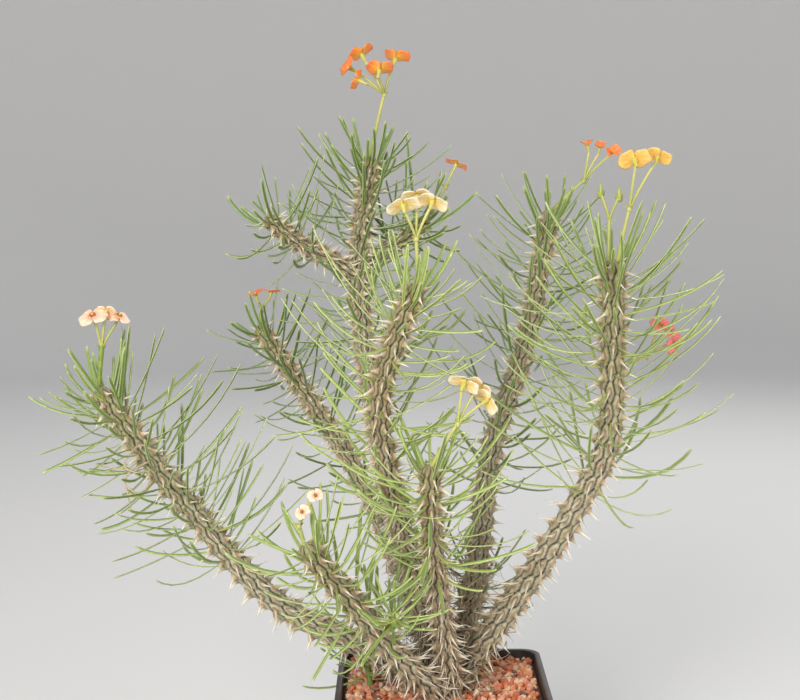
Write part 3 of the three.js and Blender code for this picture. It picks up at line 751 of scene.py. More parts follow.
def bract_material(kind):
    """Three tones of one colour: warm middle, pale edge and yellower underside, with
    fine veins that fan out from the foot."""
    material, tree, shader = new_material(f"bract_{kind}")
    middle, edge, under = BRACT_COLOURS[kind]
    reach = attribute(tree, "reach")
    top = mix_colours(tree, ramp(tree, reach, 0.05, 0.55), middle, edge)
    bottom = mix_colours(tree, ramp(tree, reach, 0.25, 0.8), under, edge)
    both = mix_colours(tree, attribute(tree, "under"), top, bottom)
    veins = math_node(tree, "MULTIPLY", attribute(tree, "fan"), 13.0)
    wave = add_node(tree, "ShaderNodeMath", {0: veins}, operation="SINE").outputs[0]
    line = math_node(tree, "MULTIPLY", ramp(tree, wave, 0.55, 1.0), 0.22)
    veined = mix_colours(tree, line, both, middle)
    colour, mask = mottled(tree, veined, edge, 350.0, 0.4)
    let_light_in(shader, 0.55, (0.003, 0.0022, 0.0014))
    shader.inputs["Subsurface Scale"].default_value = 0.6
    finish(tree, shader, colour, mask, (0.42, 0.6))
    add_bump(tree, shader, wave, 0.06 * MM)
    return material


def cup_material():
    """Yellow-green cup with dark red glands and pollen-yellow stamens."""
    material, tree, shader = new_material("flower_cup_skin")
    kind = attribute(tree, "kind")
    gland = mix_colours(tree, ramp(tree, kind, 0.4, 0.6), (0.5, 0.48, 0.11), (0.4, 0.05, 0.02))
    pollen = mix_colours(tree, ramp(tree, kind, 1.4, 1.6), gland, (0.85, 0.62, 0.12))
    colour, mask = mottled(tree, pollen, (0.55, 0.4, 0.1), 600.0, 0.3)
    finish(tree, shader, colour, mask, (0.3, 0.5))
    return material


def dry_material():
    """Pale, dry plant fibre."""
    material, tree, shader = new_material("dry_fibre")
    fibre = mix_colours(tree, attribute(tree, "tint"), (0.56, 0.46, 0.3), (0.34, 0.24, 0.14))
    colour, mask = mottled(tree, fibre, (0.3, 0.2, 0.12), 500.0, 0.6)
    finish(tree, shader, colour, mask, (0.8, 0.8), (2500.0, 0.5, 0.15 * MM))
    return material


GRAVEL_TONES = (  # the least tint of each tone and its colour
    (0.0, (0.68, 0.17, 0.06)),
    (0.2, (0.8, 0.32, 0.13)),
    (0.36, (0.54, 0.1, 0.04)),
    (0.5, (0.86, 0.48, 0.26)),
    (0.64, (0.74, 0.33, 0.22)),
    (0.77, (0.88, 0.67, 0.47)),
    (0.93, (0.14, 0.05, 0.035)),
)


def gravel_material():
    """Crushed red stone: each grain has its own red, orange, tan, pink or dark tone."""
    material, tree, shader = new_material("gravel_grains")
    tones = add_node(tree, "ShaderNodeValToRGB", {"Fac": attribute(tree, "tint")})
    tones.color_ramp.interpolation = "CONSTANT"
    elements = tones.color_ramp.elements
    while len(elements) < len(GRAVEL_TONES):
        elements.new(0.5)
    for element, (position, tone) in zip(elements, GRAVEL_TONES):
        element.position = position
        element.color = (*tone, 1)
    stone, mask = mottled(tree, tones.outputs["Color"], (0.28, 0.1, 0.06), 500.0, 0.5)
    colour, _ = dusted(tree, stone, (0.75, 0.5, 0.36), 0.2, 250.0)
    finish(tree, shader, colour, mask, (0.75, 0.95), (2200.0, 0.9, 0.3 * MM))
    return material


BEDS = (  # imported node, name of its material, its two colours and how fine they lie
    # the gravel's bed is painted far darker than the loose grains on it, as painted shade in the gaps between
    # them
    ("gravel_layer", "gravel_bed", (0.16, 0.045, 0.02), (0.05, 0.016, 0.01), 260.0),
    ("potting_mix", "potting_mix", (0.045, 0.028, 0.018), (0.012, 0.008, 0.006), 180.0),
)


def bed_material(name, base, patch, scale):
    """A bed of small lumps in two colours, for the gravel's bed and the potting mix."""
    material, tree, shader = new_material(name)
    colour, mask = mottled(tree, base, patch, scale, 0.8)
    finish(tree, shader, colour, mask, (0.85, 1.0), (3 * scale, 1.0, 0.8 * MM))
    return material


def plastic_material(black):
    """Black moulded plastic with faint scuffs and dust on its rim."""
    material, tree, shader = new_material("pot_plastic")
    scuffed, _ = mottled(tree, black, (0.035, 0.034, 0.034), 45.0, 0.5)
    colour, dust = dusted(tree, scuffed, (0.3, 0.2, 0.14), 0.35, 120.0)
    finish(tree, shader, colour, dust, (0.42, 0.8), (1200.0, 0.3, 0.05 * MM))
    return material


def floor_material(colour):
    """Plain pale floor."""
    material, _, shader = new_material("floor_paint")
    shader.inputs["Base Color"].default_value = (*colour, 1)
    shader.inputs["Roughness"].default_value = 0.9
    return material


# ------------------------------------------------------------------ bark and spines

def stem_path(stem, step):
    """Evenly spaced points of a stem from its foot to the end of its domed tip, the
    distance of each from the foot, the radius there, and the length without the
    dome. In the dome the radius shrinks as the height of a circle does."""
    radius_foot, radius_tip = (r * MM for r in stem["radius"])
    rough = spline(np.array(stem["route"]) * MM, 200)
    length = np.linalg.norm(np.diff(rough, axis=0), axis=1).sum()
    count = max(8, int(round(length / step)))
    path = spline(np.array(stem["route"]) * MM, count)
    dome = 1.05 * radius_tip
    beyond = np.linspace(0, 0.985 * dome, max(4, int(dome / step)))[1:]
    path = np.concatenate([path, path[-1] + unit(path[-1] - path[-2]) * beyond[:, None]])
    distance = np.concatenate([np.linspace(0, length, count), length + beyond])
    radius = radius_foot + (radius_tip - radius_foot) * np.clip(distance / length, 0, 1)
    radius = radius * np.sqrt(1 - (np.clip(distance - length, 0, None) / dome) ** 2)
    return path, distance, radius, length


def lattice(stem, length):
    """Distance from the foot and bearing of each shield: each stands a fixed step
    above the last, and a little over three eighths of a turn round from it."""
    step = stem["shield"] * MM / COLUMNS
    number = np.arange(int(length / step))
    return (number + 0.5) * step, number * SHIELD_TURN, step


def shield_pattern(columns, shield, distance, bearing):
    """Where each bark point lies among the shields: its offset across and along from
    the middle of the nearest one, in half widths and half lengths, that shield's
    number, how deep it lies in the groove between two columns of shields, and how
    near it is to the crease between two shields of one column. Nearness is the
    distance in those half sizes, and a groove is where the nearest shield and the
    nearest one of another column are equally near."""
    half_width = np.pi / columns
    step = shield * MM / columns
    start = np.floor(distance / step - 0.5)
    gaps, acrosses, upwards = [], [], []
    offsets = range(-2 * columns, 2 * columns + 1)
    for offset in offsets:
        n = start + offset
        turn = (bearing - n * SHIELD_TURN + np.pi) % (2 * np.pi) - np.pi
        acrosses.append(turn / half_width)
        upwards.append((distance - (n + 0.5) * step) / (0.5 * columns * step))
        gaps.append(np.hypot(acrosses[-1], 1.25 * upwards[-1]))
    gaps = np.array(gaps)
    chosen = gaps.argmin(axis=0)
    nearest = gaps.min(axis=0)
    away = np.arange(len(offsets)).reshape(-1, 1, 1) - chosen
    other = np.where(away % columns == 0, 9.0, gaps).min(axis=0)
    same = np.where((away % columns == 0) & (away != 0), gaps, 9.0).min(axis=0)
    groove = 1 - smooth(0.12, 0.72, other - nearest)
    crease = 1 - smooth(0.0, 0.35, same - nearest)
    across = np.take_along_axis(np.array(acrosses), chosen[None], 0)[0]
    upward = np.take_along_axis(np.array(upwards), chosen[None], 0)[0]
    return across, upward, start + np.array(offsets)[chosen], groove, crease


def scatter(number, k):
    """A repeatable number from 0 to 1 for each number, one for each k."""
    wave = np.sin(number * 12.9898 + k * 78.233) * 43758.5453
    return wave - np.floor(wave)


def add_bark(skin, stem, settings):
    """A stem's bark: rings square to its route, each point moved out by the relief of
    its shield: a pillow across its width, a keel that rises to a boss under the
    spine, a deep groove at its sides and a shallow crease at its ends."""
    path, distance, radius, length = stem_path(stem, settings.ring_step)
    along, back, across = frames(path)
    sides = settings.bark_sides
    bearing = round_angles(sides)
    grid_distance = np.repeat(distance[:, None], sides, 1)
    grid_bearing = np.repeat(bearing[None], len(path), 0)
    u, v, number, groove, crease = shield_pattern(COLUMNS, stem["shield"], grid_distance, grid_bearing)
    uneven = np.sin(2.3e3 * grid_distance + 5 * np.sin(3 * grid_bearing) + 1.3 * number)
    groove = np.clip(groove * (0.85 + 0.25 * uneven), 0, 1)
    boss = np.exp(-((u / 0.45) ** 2 + ((v - 0.1) / 0.38) ** 2))
    keel = np.exp(-((u / 0.35) ** 2)) * smooth(-1.0, 0.1, v) * (1 - smooth(0.1, 0.7, v))
    swell = 0.45 * np.clip(1 - u**2, 0, 1) + 0.55 * boss + 0.35 * keel - 0.9 * groove - 0.3 * crease
    swell = swell + 0.2 * (scatter(number, 5) - 0.5) * (1 - groove) + 0.05 * uneven
    closing = np.minimum(1, radius / (stem["radius"][1] * MM))[:, None]
    out = back[:, None] * np.cos(bearing)[:, None] + across[:, None] * np.sin(bearing)[:, None]
    rings = path[:, None] + out * (radius[:, None] + settings.shield_relief * swell * closing)[..., None]
    # groove, crease and under say where the bark gets its painted shade: in the grooves, in the creases and
    # below each spine's boss
    skin.closed_strips(
        rings[None], path[:1] - along[:1] * MM, path[-1:] + along[-1:] * 0.1 * MM,
        groove=groove[None], crease=crease[None], boss=boss[None] * (1 - groove[None]),
        tint=scatter(number, 1)[None], young=smooth(stem["leafy_from"], 1.02, grid_distance / length)[None],
        under=((1 - smooth(-0.1, 0.25, v)) * smooth(-0.9, -0.1, v) * (1 - np.abs(u)).clip(0, 1))[None],
    )


def stem_frame_at(stem, place):
    """Point, direction, back and across of a stem at some distances from its foot,
    and its radius there."""
    path, distance, radius, _ = stem_path(stem, MM)
    along, back, across = frames(path)

    def look_up(table):
        return np.stack([np.interp(place, distance, table[:, axis]) for axis in range(3)], 1)

    directions = (unit(look_up(table)) for table in (along, back, across))
    return look_up(path), *directions, np.interp(place, distance, radius)


def add_spines(skin, base, direction, along, length, breadth, curl, tint):
    """Spines: rings of six points that shrink from a broad foot, longer along the
    stem than across it, to a point, on an axis that bends by curl along the stem."""
    share = np.array([0.0, 0.1, 0.22, 0.42, 0.68])
    tall = 0.24 * (1 - share) + 0.76 * (1 - share) ** 5.5
    slim = 0.18 * (1 - share) + 0.22 * (1 - share) ** 5
    beside = unit(np.cross(along, direction))
    lengthwise = np.cross(direction, beside)
    axis = base[:, None] + direction[:, None] * share[None, :, None] * length[:, None, None]
    axis = axis + along[:, None] * (curl[:, None] * share[None] ** 2 * length[:, None])[..., None]
    cosine, sine = circle(6)
    tall = (breadth[:, None] * tall)[:, :, None, None]
    slim = (breadth[:, None] * slim)[:, :, None, None]
    rings = axis[:, :, None] + tall * lengthwise[:, None, None] * cosine[:, None] \
        + slim * beside[:, None, None] * sine[:, None]
    point = base + direction * length[:, None] + along * (curl * length)[:, None]
    shape = (len(base), len(share), 6)
    skin.closed_strips(
        rings, base - direction * 0.3 * MM, point,
        share=np.broadcast_to(share[None, :, None], shape), tint=np.broadcast_to(tint[:, None, None], shape),
    )


def add_stem_spines(skin, stem, seed, settings):
    """One spine on the boss of each shield, up over the domed tip, and near the foot
    of the stem finer, longer and more bent ones between them."""
    length = stem_path(stem, MM)[3]
    tip_radius = stem["radius"][1] * MM
    distance, bearing, step = lattice(stem, length + 0.8 * tip_radius)
    number = np.arange(len(distance)) + 1000 * seed
    foot_share = 1 - smooth(35 * MM, 135 * MM, distance)
    for between in (False, True):
        keep = scatter(number, 9) < 0.95 * foot_share if between else distance > 0
        turn = bearing[keep]
        place = distance[keep] + 0.05 * stem["shield"] * MM
        if between:
            turn = turn + np.pi / COLUMNS + scatter(number[keep], 8)
            place = place + 4.5 * step
        n = number[keep] + 0.5 * between
        point, along, back, across, radius = stem_frame_at(stem, place)
        out = back * np.cos(turn)[:, None] + across * np.sin(turn)[:, None]
        dome = np.clip((place - length) / tip_radius, 0, 0.95)[:, None]
        size = stem["spine"] * MM * (0.8 + 0.4 * scatter(n, 2)) * (1 - 0.45 * dome[:, 0])
        if between:
            size = settings.base_spine * (0.5 + 0.6 * scatter(n, 3))
        side = np.cross(along, out)
        lean = (-0.2 + 0.4 * (scatter(n, 4) - 0.5))[:, None] * (1 + 1.5 * between) + 1.6 * dome
        sway = (0.3 * (scatter(n, 6) - 0.5))[:, None] * (1 + 2.5 * between)
        direction = unit(out + lean * along + sway * side)
        breadth = (1.7 if between else 3.3) * MM * (0.85 + 0.3 * scatter(n, 7)) * (1 - 0.5 * dome[:, 0])
        base = point + out * (radius + (0.0 if between else 0.4) * settings.shield_relief)[:, None]
        curl = (scatter(n, 10) - 0.6) * (0.8 if between else 0.3)
        add_spines(skin, base, direction, along, size, breadth, curl, scatter(n, 1))


# ------------------------------------------------------------------ leaves

def leaf_seats(stem, seed, companion_share):
    """Start, direction and length of every leaf. Leaf n stands a golden angle round
    from the one above it, ever further apart down the stem, and opens wider with
    its age; a share of them have a shorter companion from the same seat."""
    number = np.arange(stem["leaves"])
    companions = number[scatter(number + 100 * seed, 20) < companion_share]
    n = np.concatenate([number, companions])
    second = np.concatenate([np.zeros(len(number)), np.ones(len(companions))])
    age = n / stem["leaves"]
    length = stem_path(stem, MM)[3]
    share = 1 - (1 - stem["leafy_from"]) * ((n + 0.3) / stem["leaves"]) ** LEAF_SPACING
    point, along, back, across, radius = stem_frame_at(stem, share * length)
    bearing = n * GOLDEN_ANGLE + 0.55 * second
    out = back * np.cos(bearing)[:, None] + across * np.sin(bearing)[:, None]
    key = n + 100 * seed + 0.37 * second
    opening = OPENING["at_tip"] + OPENING["gain"] * smooth(0, 1, OPENING["speed"] * age) \
        + OPENING["scatter"] * (scatter(key, 1) - 0.5) + OPENING["companion"] * second
    angle = np.radians(opening)[:, None]
    growth = GROWTH["least"] + (1 - GROWTH["least"]) * np.minimum(1, age / GROWTH["full_age"])
    reach = stem["leaf_length"] * MM * growth * (0.75 + 0.4 * scatter(key, 2)) * (1 - 0.25 * second)
    direction = along * np.cos(angle) + out * np.sin(angle)
    base = point + out * (radius + 0.2 * MM)[:, None]
    return base, direction, unit(np.cross(along, out)), reach, key


def add_leaves(skin, seats, settings):
    """Narrow channelled leaves. The middle line is a quadratic curve that starts in
    the leaf's direction and lifts towards its tip; square to it lies a section of
    six points, two edges, a sunken upper middle and a rounded underside, which
    keeps its width from near the foot to the blunt round tip."""
    base, direction, beside, reach, key = seats
    lift = LEAF_LINE["lift"] + LEAF_LINE["lift_spread"] * scatter(key, 3)
    swing = (scatter(key, 4) - 0.5) * LEAF_LINE["swing"]
    bend = base + LEAF_LINE["bend"] * reach[:, None] * direction
    tip = base + LEAF_LINE["end"] * reach[:, None] * direction
    tip = tip + (lift * reach)[:, None] * UP + (swing * reach)[:, None] * beside
    tip = np.clip(tip, LOWEST - LEAF_PROUD, HIGHEST + LEAF_PROUD)
    t = np.array([0.0, 0.05, 0.16, 0.32, 0.5, 0.68, 0.84, 0.94, 0.985])
    v = t[None, :, None]
    line = (1 - v) ** 2 * base[:, None] + 2 * v * (1 - v) * bend[:, None] + v**2 * tip[:, None]
    tangent = unit(2 * (1 - v) * (bend - base)[:, None] + 2 * v * (tip - bend)[:, None])
    roll = np.radians(70) * (scatter(key, 5) - 0.5)[:, None, None]
    width_way = unit(beside[:, None] - np.sum(beside[:, None] * tangent, -1, keepdims=True) * tangent)
    face = np.cross(width_way, tangent)
    flat_face = face
    face = np.cos(roll) * flat_face - np.sin(roll) * width_way
    width_way = np.cos(roll) * width_way + np.sin(roll) * flat_face
    full = 0.55 + 0.45 * smooth(0, 0.25, t)
    blunt = np.sqrt(np.clip(1 - ((t - 0.9) / 0.1) ** 2 * (t > 0.9), 0.12, 1))
    half = 0.5 * settings.leaf_width * (full * blunt)[None] * (0.8 + 0.35 * scatter(key, 6))[:, None]
    thick = settings.leaf_thickness * (full * np.sqrt(blunt))[None] * (0.85 + 0.3 * scatter(key, 8))[:, None]
    section_x = np.array([-1.0, 0.0, 1.0, 0.66, 0.0, -0.66])
    section_z = np.array([0.12, -0.12, 0.12, -0.42, -0.62, -0.42])
    rings = line[:, :, None] + width_way[:, :, None] * (half[:, :, None] * section_x)[..., None] \
        + face[:, :, None] * (thick[:, :, None] * section_z)[..., None]
    # edge: how much of the painted edge highlight a section point takes, full at the two edges
    edge = np.array([1.0, 0.0, 1.0, 0.45, 0.2, 0.45])
    shape = (len(base), len(t), 6)
    skin.closed_strips(
        rings, base - direction * 0.3 * MM, tip,
        share=np.broadcast_to(v, shape), edge=np.broadcast_to(edge, shape),
        tint=np.broadcast_to(scatter(key, 7)[:, None, None], shape),
    )


# ------------------------------------------------------------------ flowers

def bowed(start, end, count):
    """Points of a stalk between two places, rising a little before it leans over."""
    start, end = np.asarray(start, float) * MM, np.asarray(end, float) * MM
    middle = 0.5 * (start + end) + 0.08 * np.linalg.norm(end - start) * UP
    v = np.linspace(0, 1, count)[:, None]
    return (1 - v) ** 2 * start + 2 * v * (1 - v) * middle + v**2 * end


def all_heads(cluster):
    """Every head of a cluster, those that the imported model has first."""
    return cluster["heads"] + cluster["more"]


def head_axes(face, turn):
    """The facing direction of a head, and its two crosswise directions: the shortest
    turn that takes up to the facing direction, after a turn about up."""
    face = unit(np.asarray(face, float))
    axis = np.cross(UP, face)
    cosine = face[2]
    angle = math.radians(turn)

    def turned(vector):
        return vector * cosine + np.cross(axis, vector) + axis * (axis @ vector) / (1 + cosine)

    first = turned(np.array([math.cos(angle), math.sin(angle), 0.0]))
    return face, first, np.cross(face, first)


def add_bract(skin, head, side, rise, thickness, key):
    """One bract: rings round its own middle on the upper face, out to an outline
    that is round outwards and almost straight where it meets its twin, and back
    along the underside. Its height is rise times the way out less a share of its
    square, so that it arches, and the rim ripples."""
    at, facing, turn, radius = head
    face, first, second = head_axes(facing, turn)
    first, second = first * side, second * side
    radius = radius * MM
    sides, rows = 32, 6
    angle = round_angles(sides)
    reach = np.linspace(0.16, 1, rows)
    reach = np.concatenate([reach, reach[-2::-1]])
    under = np.concatenate([np.zeros(rows), np.ones(rows - 1)])
    cosine = np.cos(angle)
    point = np.exp(-((np.minimum(angle, 2 * np.pi - angle)) / 0.2) ** 2)
    inner = -0.84 * np.clip(-cosine, 0, 1) ** 0.45
    outline_x = radius * np.where(cosine > 0, cosine * (1 + 0.07 * point), inner)
    outline_y = 1.32 * radius * np.sin(angle)
    notch = 1 + 0.05 * np.sin(5 * angle + 6 * scatter(key, 2)) * (cosine > -0.2)
    middle = 0.74 * radius
    x = middle + reach[:, None] * outline_x * notch
    y = reach[:, None] * outline_y * notch
    steep = rise * (0.75 + 0.5 * scatter(key, 3))
    ripple = 0.14 * radius * reach[:, None] ** 3 * np.sin(3 * angle + 6 * scatter(key, 1))
    out = np.hypot(x, 0.8 * y)
    height = steep * out - ARCH * out**2 / radius + ripple
    lift = TWIN_LIFT * (side > 0)
    height = height + lift - (under * thickness * (1 - 0.75 * reach**4))[:, None]
    at = np.asarray(at, float) * MM
    rings = at + x[..., None] * first + y[..., None] * second + height[..., None] * face
    top = at + middle * first + (steep * middle - ARCH * middle**2 / radius + lift) * face
    distance = np.clip(np.hypot(x, y) / (1.9 * radius), 0, 1)
    fan = np.arctan2(y, x + 0.3 * radius)
    skin.closed_strips(
        rings[None], top[None], (top - thickness * face)[None], reach=distance[None], fan=fan[None],
        under=np.broadcast_to(under[:, None], x.shape)[None],
    )


def add_profile(skin, at, axes, radii, heights, sides, **values):
    """A turned body: circles of the given radii at the given heights up the axis."""
    face, first, second = axes
    cosine, sine = circle(sides)
    ring = first * cosine[:, None] + second * sine[:, None]
    rings = at + radii[:, None, None] * ring + heights[:, None, None] * face
    skin.closed_strips(rings[None], (at + heights[0] * face)[None], (at + heights[-1] * face)[None], **values)


def add_cup(skin, head, settings):
    """The little cup under two bracts, its ring of five swollen glands and the
    stamens that stand in its mouth."""
    at, facing, turn, radius = head
    axes = head_axes(facing, turn)
    face, first, second = axes
    at = np.asarray(at, float) * MM
    size = radius / 5.0
    height, mouth = settings.cup_height, settings.cup_radius * size
    heights = np.array([-1.3, -0.95, -0.55, -0.2, 0.1, 0.2, 0.08]) * height
    radii = np.array([0.42, 0.52, 0.68, 0.88, 1.0, 0.86, 0.4]) * mouth
    add_profile(skin, at, axes, radii, heights, 14, kind=0.0)
    for i in range(5):
        bearing = 2 * np.pi * (i + 0.5) / 5
        way = first * np.cos(bearing) + second * np.sin(bearing)
        centre = at + 0.78 * mouth * way + 0.26 * height * face
        radii = np.array([0.45, 0.95, 1.0, 0.6]) * 0.42 * mouth
        heights = np.array([-0.25, -0.08, 0.08, 0.2]) * 0.4 * height
        add_profile(skin, centre, axes, radii, heights, 8, kind=1.0)
        stamen = at + 0.3 * mouth * way + 0.36 * height * face
        radii = np.array([0.4, 1.0, 1.0, 0.4]) * 0.14 * mouth
        heights = np.array([-1.6, -0.2, 0.3, 0.7]) * 0.25 * height
        add_profile(skin, stamen, axes, radii, heights, 6, kind=2.0)


def add_cluster_stalk(skin, cluster, settings):
    """The stalk of a cluster and one branch to each head, ending inside its cup, with
    a swollen fork."""
    radius = settings.stalk_radius
    green = cluster["green"]
    path = bowed(cluster["start"], cluster["fork"], 14)
    add_tube(skin, path, radius * np.linspace(1.1, 0.85 + 0.5 * green**3, 14), 10, green=green)
    fork = np.asarray(cluster["fork"], float) * MM
    swelling = np.array([0.8, 1.35, 1.2, 0.5]) * radius
    heights = np.array([-1.6, -0.4, 0.6, 1.2]) * radius
    add_profile(skin, fork, UPRIGHT, swelling, heights, 10, share=0.9, green=green)
    for at, facing, _, _ in all_heads(cluster):
        face = unit(np.asarray(facing, float))
        end = np.asarray(at, float) - face * settings.cup_height / MM * 0.9
        path = bowed(cluster["fork"], end, 10)
        add_tube(skin, path, radius * np.linspace(0.65, 0.75, 10), 8, green=0.3 * green)


def add_scale_leaves(skin, place, length, spread, green):
    """Two little pointed scale leaves on opposite sides of a place on a stalk: rings
    of four points that widen and then narrow to a point, spread apart from up."""
    place = np.asarray(place, float) * MM
    way = unit(np.array([[spread, 0.3 * spread, 1.0], [-spread, -0.3 * spread, 1.0]]))
    t = np.array([0.0, 0.25, 0.55, 0.85])
    beside = unit(np.cross(way, BACK))
    face = np.cross(beside, way)
    line = place + way[:, None] * (t * length)[None, :, None]
    half = np.array([0.15, 0.27, 0.2, 0.08]) * length
    x = np.array([-1.0, 0.0, 1.0, 0.0])
    z = np.array([0.0, 0.05, 0.0, -0.05]) * length
    rings = line[:, :, None] + beside[:, None, None] * (half[:, None] * x)[None, ..., None] \
        + face[:, None, None] * z[None, None, :, None]
    skin.closed_strips(rings, place + 0 * way, place + way * length, share=0.3, green=green)


def add_bud(skin, place):
    """One unopened head: a turned spindle, widest low down and drawn out to a point,
    between two scale leaves."""
    radii = np.array([0.3, 0.85, 1.0, 0.85, 0.5, 0.12]) * 1.4 * MM
    heights = np.array([-3.4, -2.0, 0, 2.2, 4.6, 7.0]) * MM
    add_profile(skin, np.array(place) * MM, UPRIGHT, radii, heights, 12, share=0.2, green=0.5)
    foot = np.array(place) - (0, 0, 3)
    add_scale_leaves(skin, foot, 5.5 * MM, 0.45, 0.6)


# ------------------------------------------------------------------ gravel and pot

def icosahedron():
    """Corners and faces of the regular solid with twenty faces."""
    g = (1 + 5**0.5) / 2
    corners = np.array([(-1, g, 0), (1, g, 0), (-1, -g, 0), (1, -g, 0), (0, -1, g), (0, 1, g),
                        (0, -1, -g), (0, 1, -g), (g, 0, -1), (g, 0, 1), (-g, 0, -1), (-g, 0, 1)])
    faces = np.array([(0, 11, 5), (0, 5, 1), (0, 1, 7), (0, 7, 10), (0, 10, 11), (1, 5, 9), (5, 11, 4),
                      (11, 10, 2), (10, 7, 6), (7, 1, 8), (3, 9, 4), (3, 4, 2), (3, 2, 6), (3, 6, 8),
                      (3, 8, 9), (4, 9, 5), (2, 4, 11), (6, 2, 10), (8, 6, 7), (9, 8, 1)])
    return corners / np.linalg.norm(corners[0]), faces


def random_turns(random, count):
    """Turning matrices from evenly spread unit quaternions."""
    a, b, c, d = unit(random.normal(size=(count, 4))).T
    rows = [[1 - 2 * (c * c + d * d), 2 * (b * c - a * d), 2 * (b * d + a * c)],
            [2 * (b * c + a * d), 1 - 2 * (b * b + d * d), 2 * (c * d - a * b)],
            [2 * (b * d - a * c), 2 * (c * d + a * b), 1 - 2 * (b * b + c * c)]]
    return np.moveaxis(np.array(rows), 2, 0)


def grain_places(random, half_width, spacing):
    """Middles of the grains: a shaken grid over the square, in two layers."""
    steps = np.arange(-half_width, half_width + 1e-9, spacing)
    x, y = np.meshgrid(steps, steps)
    lower = np.stack([x.ravel(), y.ravel()], 1)
    places = np.concatenate([lower, lower + 0.5 * spacing])
    layer = np.repeat([0.0, 1.0], len(lower))
    places = places + random.uniform(-0.45, 0.45, places.shape) * spacing
    inside = np.abs(places).max(axis=1) < half_width
    corner = np.abs(places[:, 0]) + np.abs(places[:, 1]) < 2 * half_width - 6 * MM
    return places[inside & corner], layer[inside & corner]


def add_gravel(skin, random, half_width, top, grain):
    """Crushed grains: the twenty-faced solid with its corners shaken, stretched by
    three different amounts and turned at random."""
    corners, faces = icosahedron()
    places, layer = grain_places(random, half_width, 0.86 * grain)
    count = len(places)
    shape = corners[None] * (1 + random.uniform(-0.28, 0.28, (count, 12, 1)))
    size = grain * random.uniform(0.3, 0.62, (count, 1, 1)) * random.uniform(0.7, 1.25, (count, 1, 3))
    shape = np.einsum("nij,nkj->nki", random_turns(random, count), shape * size)
    height = top + (layer - 0.4) * 0.35 * grain + random.uniform(-0.2, 0.25, count) * grain
    middle = np.concatenate([places, height[:, None]], axis=1)
    points = (shape + middle[:, None]).reshape(-1, 3)
    offsets = (np.arange(count) * 12)[:, None, None]
    triangles = (faces[None] + offsets).reshape(-1, 3)
    tint = np.repeat(random.random(count), 12)
    skin.add(points, np.zeros((0, 4), int), triangles, {"tint": tint})


def rounded_square(width, sides_per_corner):
    """Points round a square with arcs at its corners, anticlockwise."""
    radius = POT_CORNER * width
    straight = width / 2 - radius
    arc = np.linspace(0, np.pi / 2, sides_per_corner)
    points = []
    for quarter, (x, y) in enumerate([(1, 1), (-1, 1), (-1, -1), (1, -1)]):
        angle = arc + quarter * np.pi / 2
        corner = [x * straight + radius * np.cos(angle), y * straight + radius * np.sin(angle)]
        points.append(np.stack(corner, 1))
    return np.concatenate(points)


def add_pot(skin, foot_width, top_width, rim_width, height, settings):
    """The pot: rounded squares one above another, up the tapered outside, round the
    band of the rim, over its lip, and down the inside to the floor."""
    wall, rim_depth = settings.wall, settings.rim_depth
    taper = (top_width - foot_width) / height
    band = height - rim_depth
    lip = 0.8 * MM
    outside = [(foot_width - 6 * MM, 0), (foot_width - 1.6 * MM, 0), (foot_width - 0.4 * MM, 0.5 * MM),
               (foot_width, 1.4 * MM), (foot_width + 0.5 * taper * band, 0.5 * band),
               (foot_width + taper * band, band - 0.2 * MM)]
    rim = [(rim_width - 2.4 * MM, band), (rim_width - 1.4 * MM, band + 0.3 * MM),
           (rim_width - lip, band + 1.2 * MM), (rim_width, height - lip),
           (rim_width - 0.5 * lip, height - 0.25 * lip), (rim_width - 1.6 * lip, height)]
    inner_top = top_width - 2 * wall
    inner_foot = foot_width + taper * wall - 2 * wall
    inside = [(inner_top + 1.2 * lip, height), (inner_top + 0.2 * lip, height - 0.3 * lip),
              (inner_top, height - lip), (0.5 * (inner_top + inner_foot), 0.5 * height),
              (inner_foot, 3 * MM), (inner_foot - 4 * MM, 2 * MM)]
    rings = []
    for width, z in outside + rim + inside:
        outline = rounded_square(width, 9)
        rings.append(np.concatenate([outline, np.full((len(outline), 1), z)], axis=1))
    rings = np.array(rings)[None]
    skin.closed_strips(rings, np.array([[0.0, 0, 0]]), np.array([[0.0, 0, 2 * MM]]))


def cut_drain_holes(pot, reach, diameter):
    """Cuts the four round drain holes through the floor and applies the cut."""
    cutter_skin = Skin()
    radii = np.full(2, diameter / 2)
    heights = np.array([-5 * MM, 5 * MM])
    for x in (-reach, reach):
        for y in (-reach, reach):
            add_profile(cutter_skin, np.array([x, y, 0.0]), UPRIGHT, radii, heights, 24)
    cutter = cutter_skin.make("drain_cutter", pot.data.materials[0], "nursery_pot")
    cut = pot.modifiers.new("drain", "BOOLEAN")
    cut.operation = "DIFFERENCE"
    cut.object = cutter
    cut.solver = "EXACT"
    finished = bpy.data.meshes.new_from_object(pot.evaluated_get(bpy.context.evaluated_depsgraph_get()))
    pot.modifiers.clear()
    pot.data = finished
    bpy.data.objects.remove(cutter)


# ------------------------------------------------------------------ operators

class EUPHORBIA_OT_bark(bpy.types.Operator):
    """Builds the bark of every stem"""

    bl_idname = "euphorbia.bark"
    bl_label = "Bark"

    def execute(self, context):
        settings = context.scene.euphorbia_plant
        for name, stem in STEMS.items():
            skin = Skin()
            add_bark(skin, stem, settings)
            skin.make(f"bark_{name}", bark_material(f"bark_{name}", stem["brown"]), "bark", f"stem_{name}")
        return {"FINISHED"}


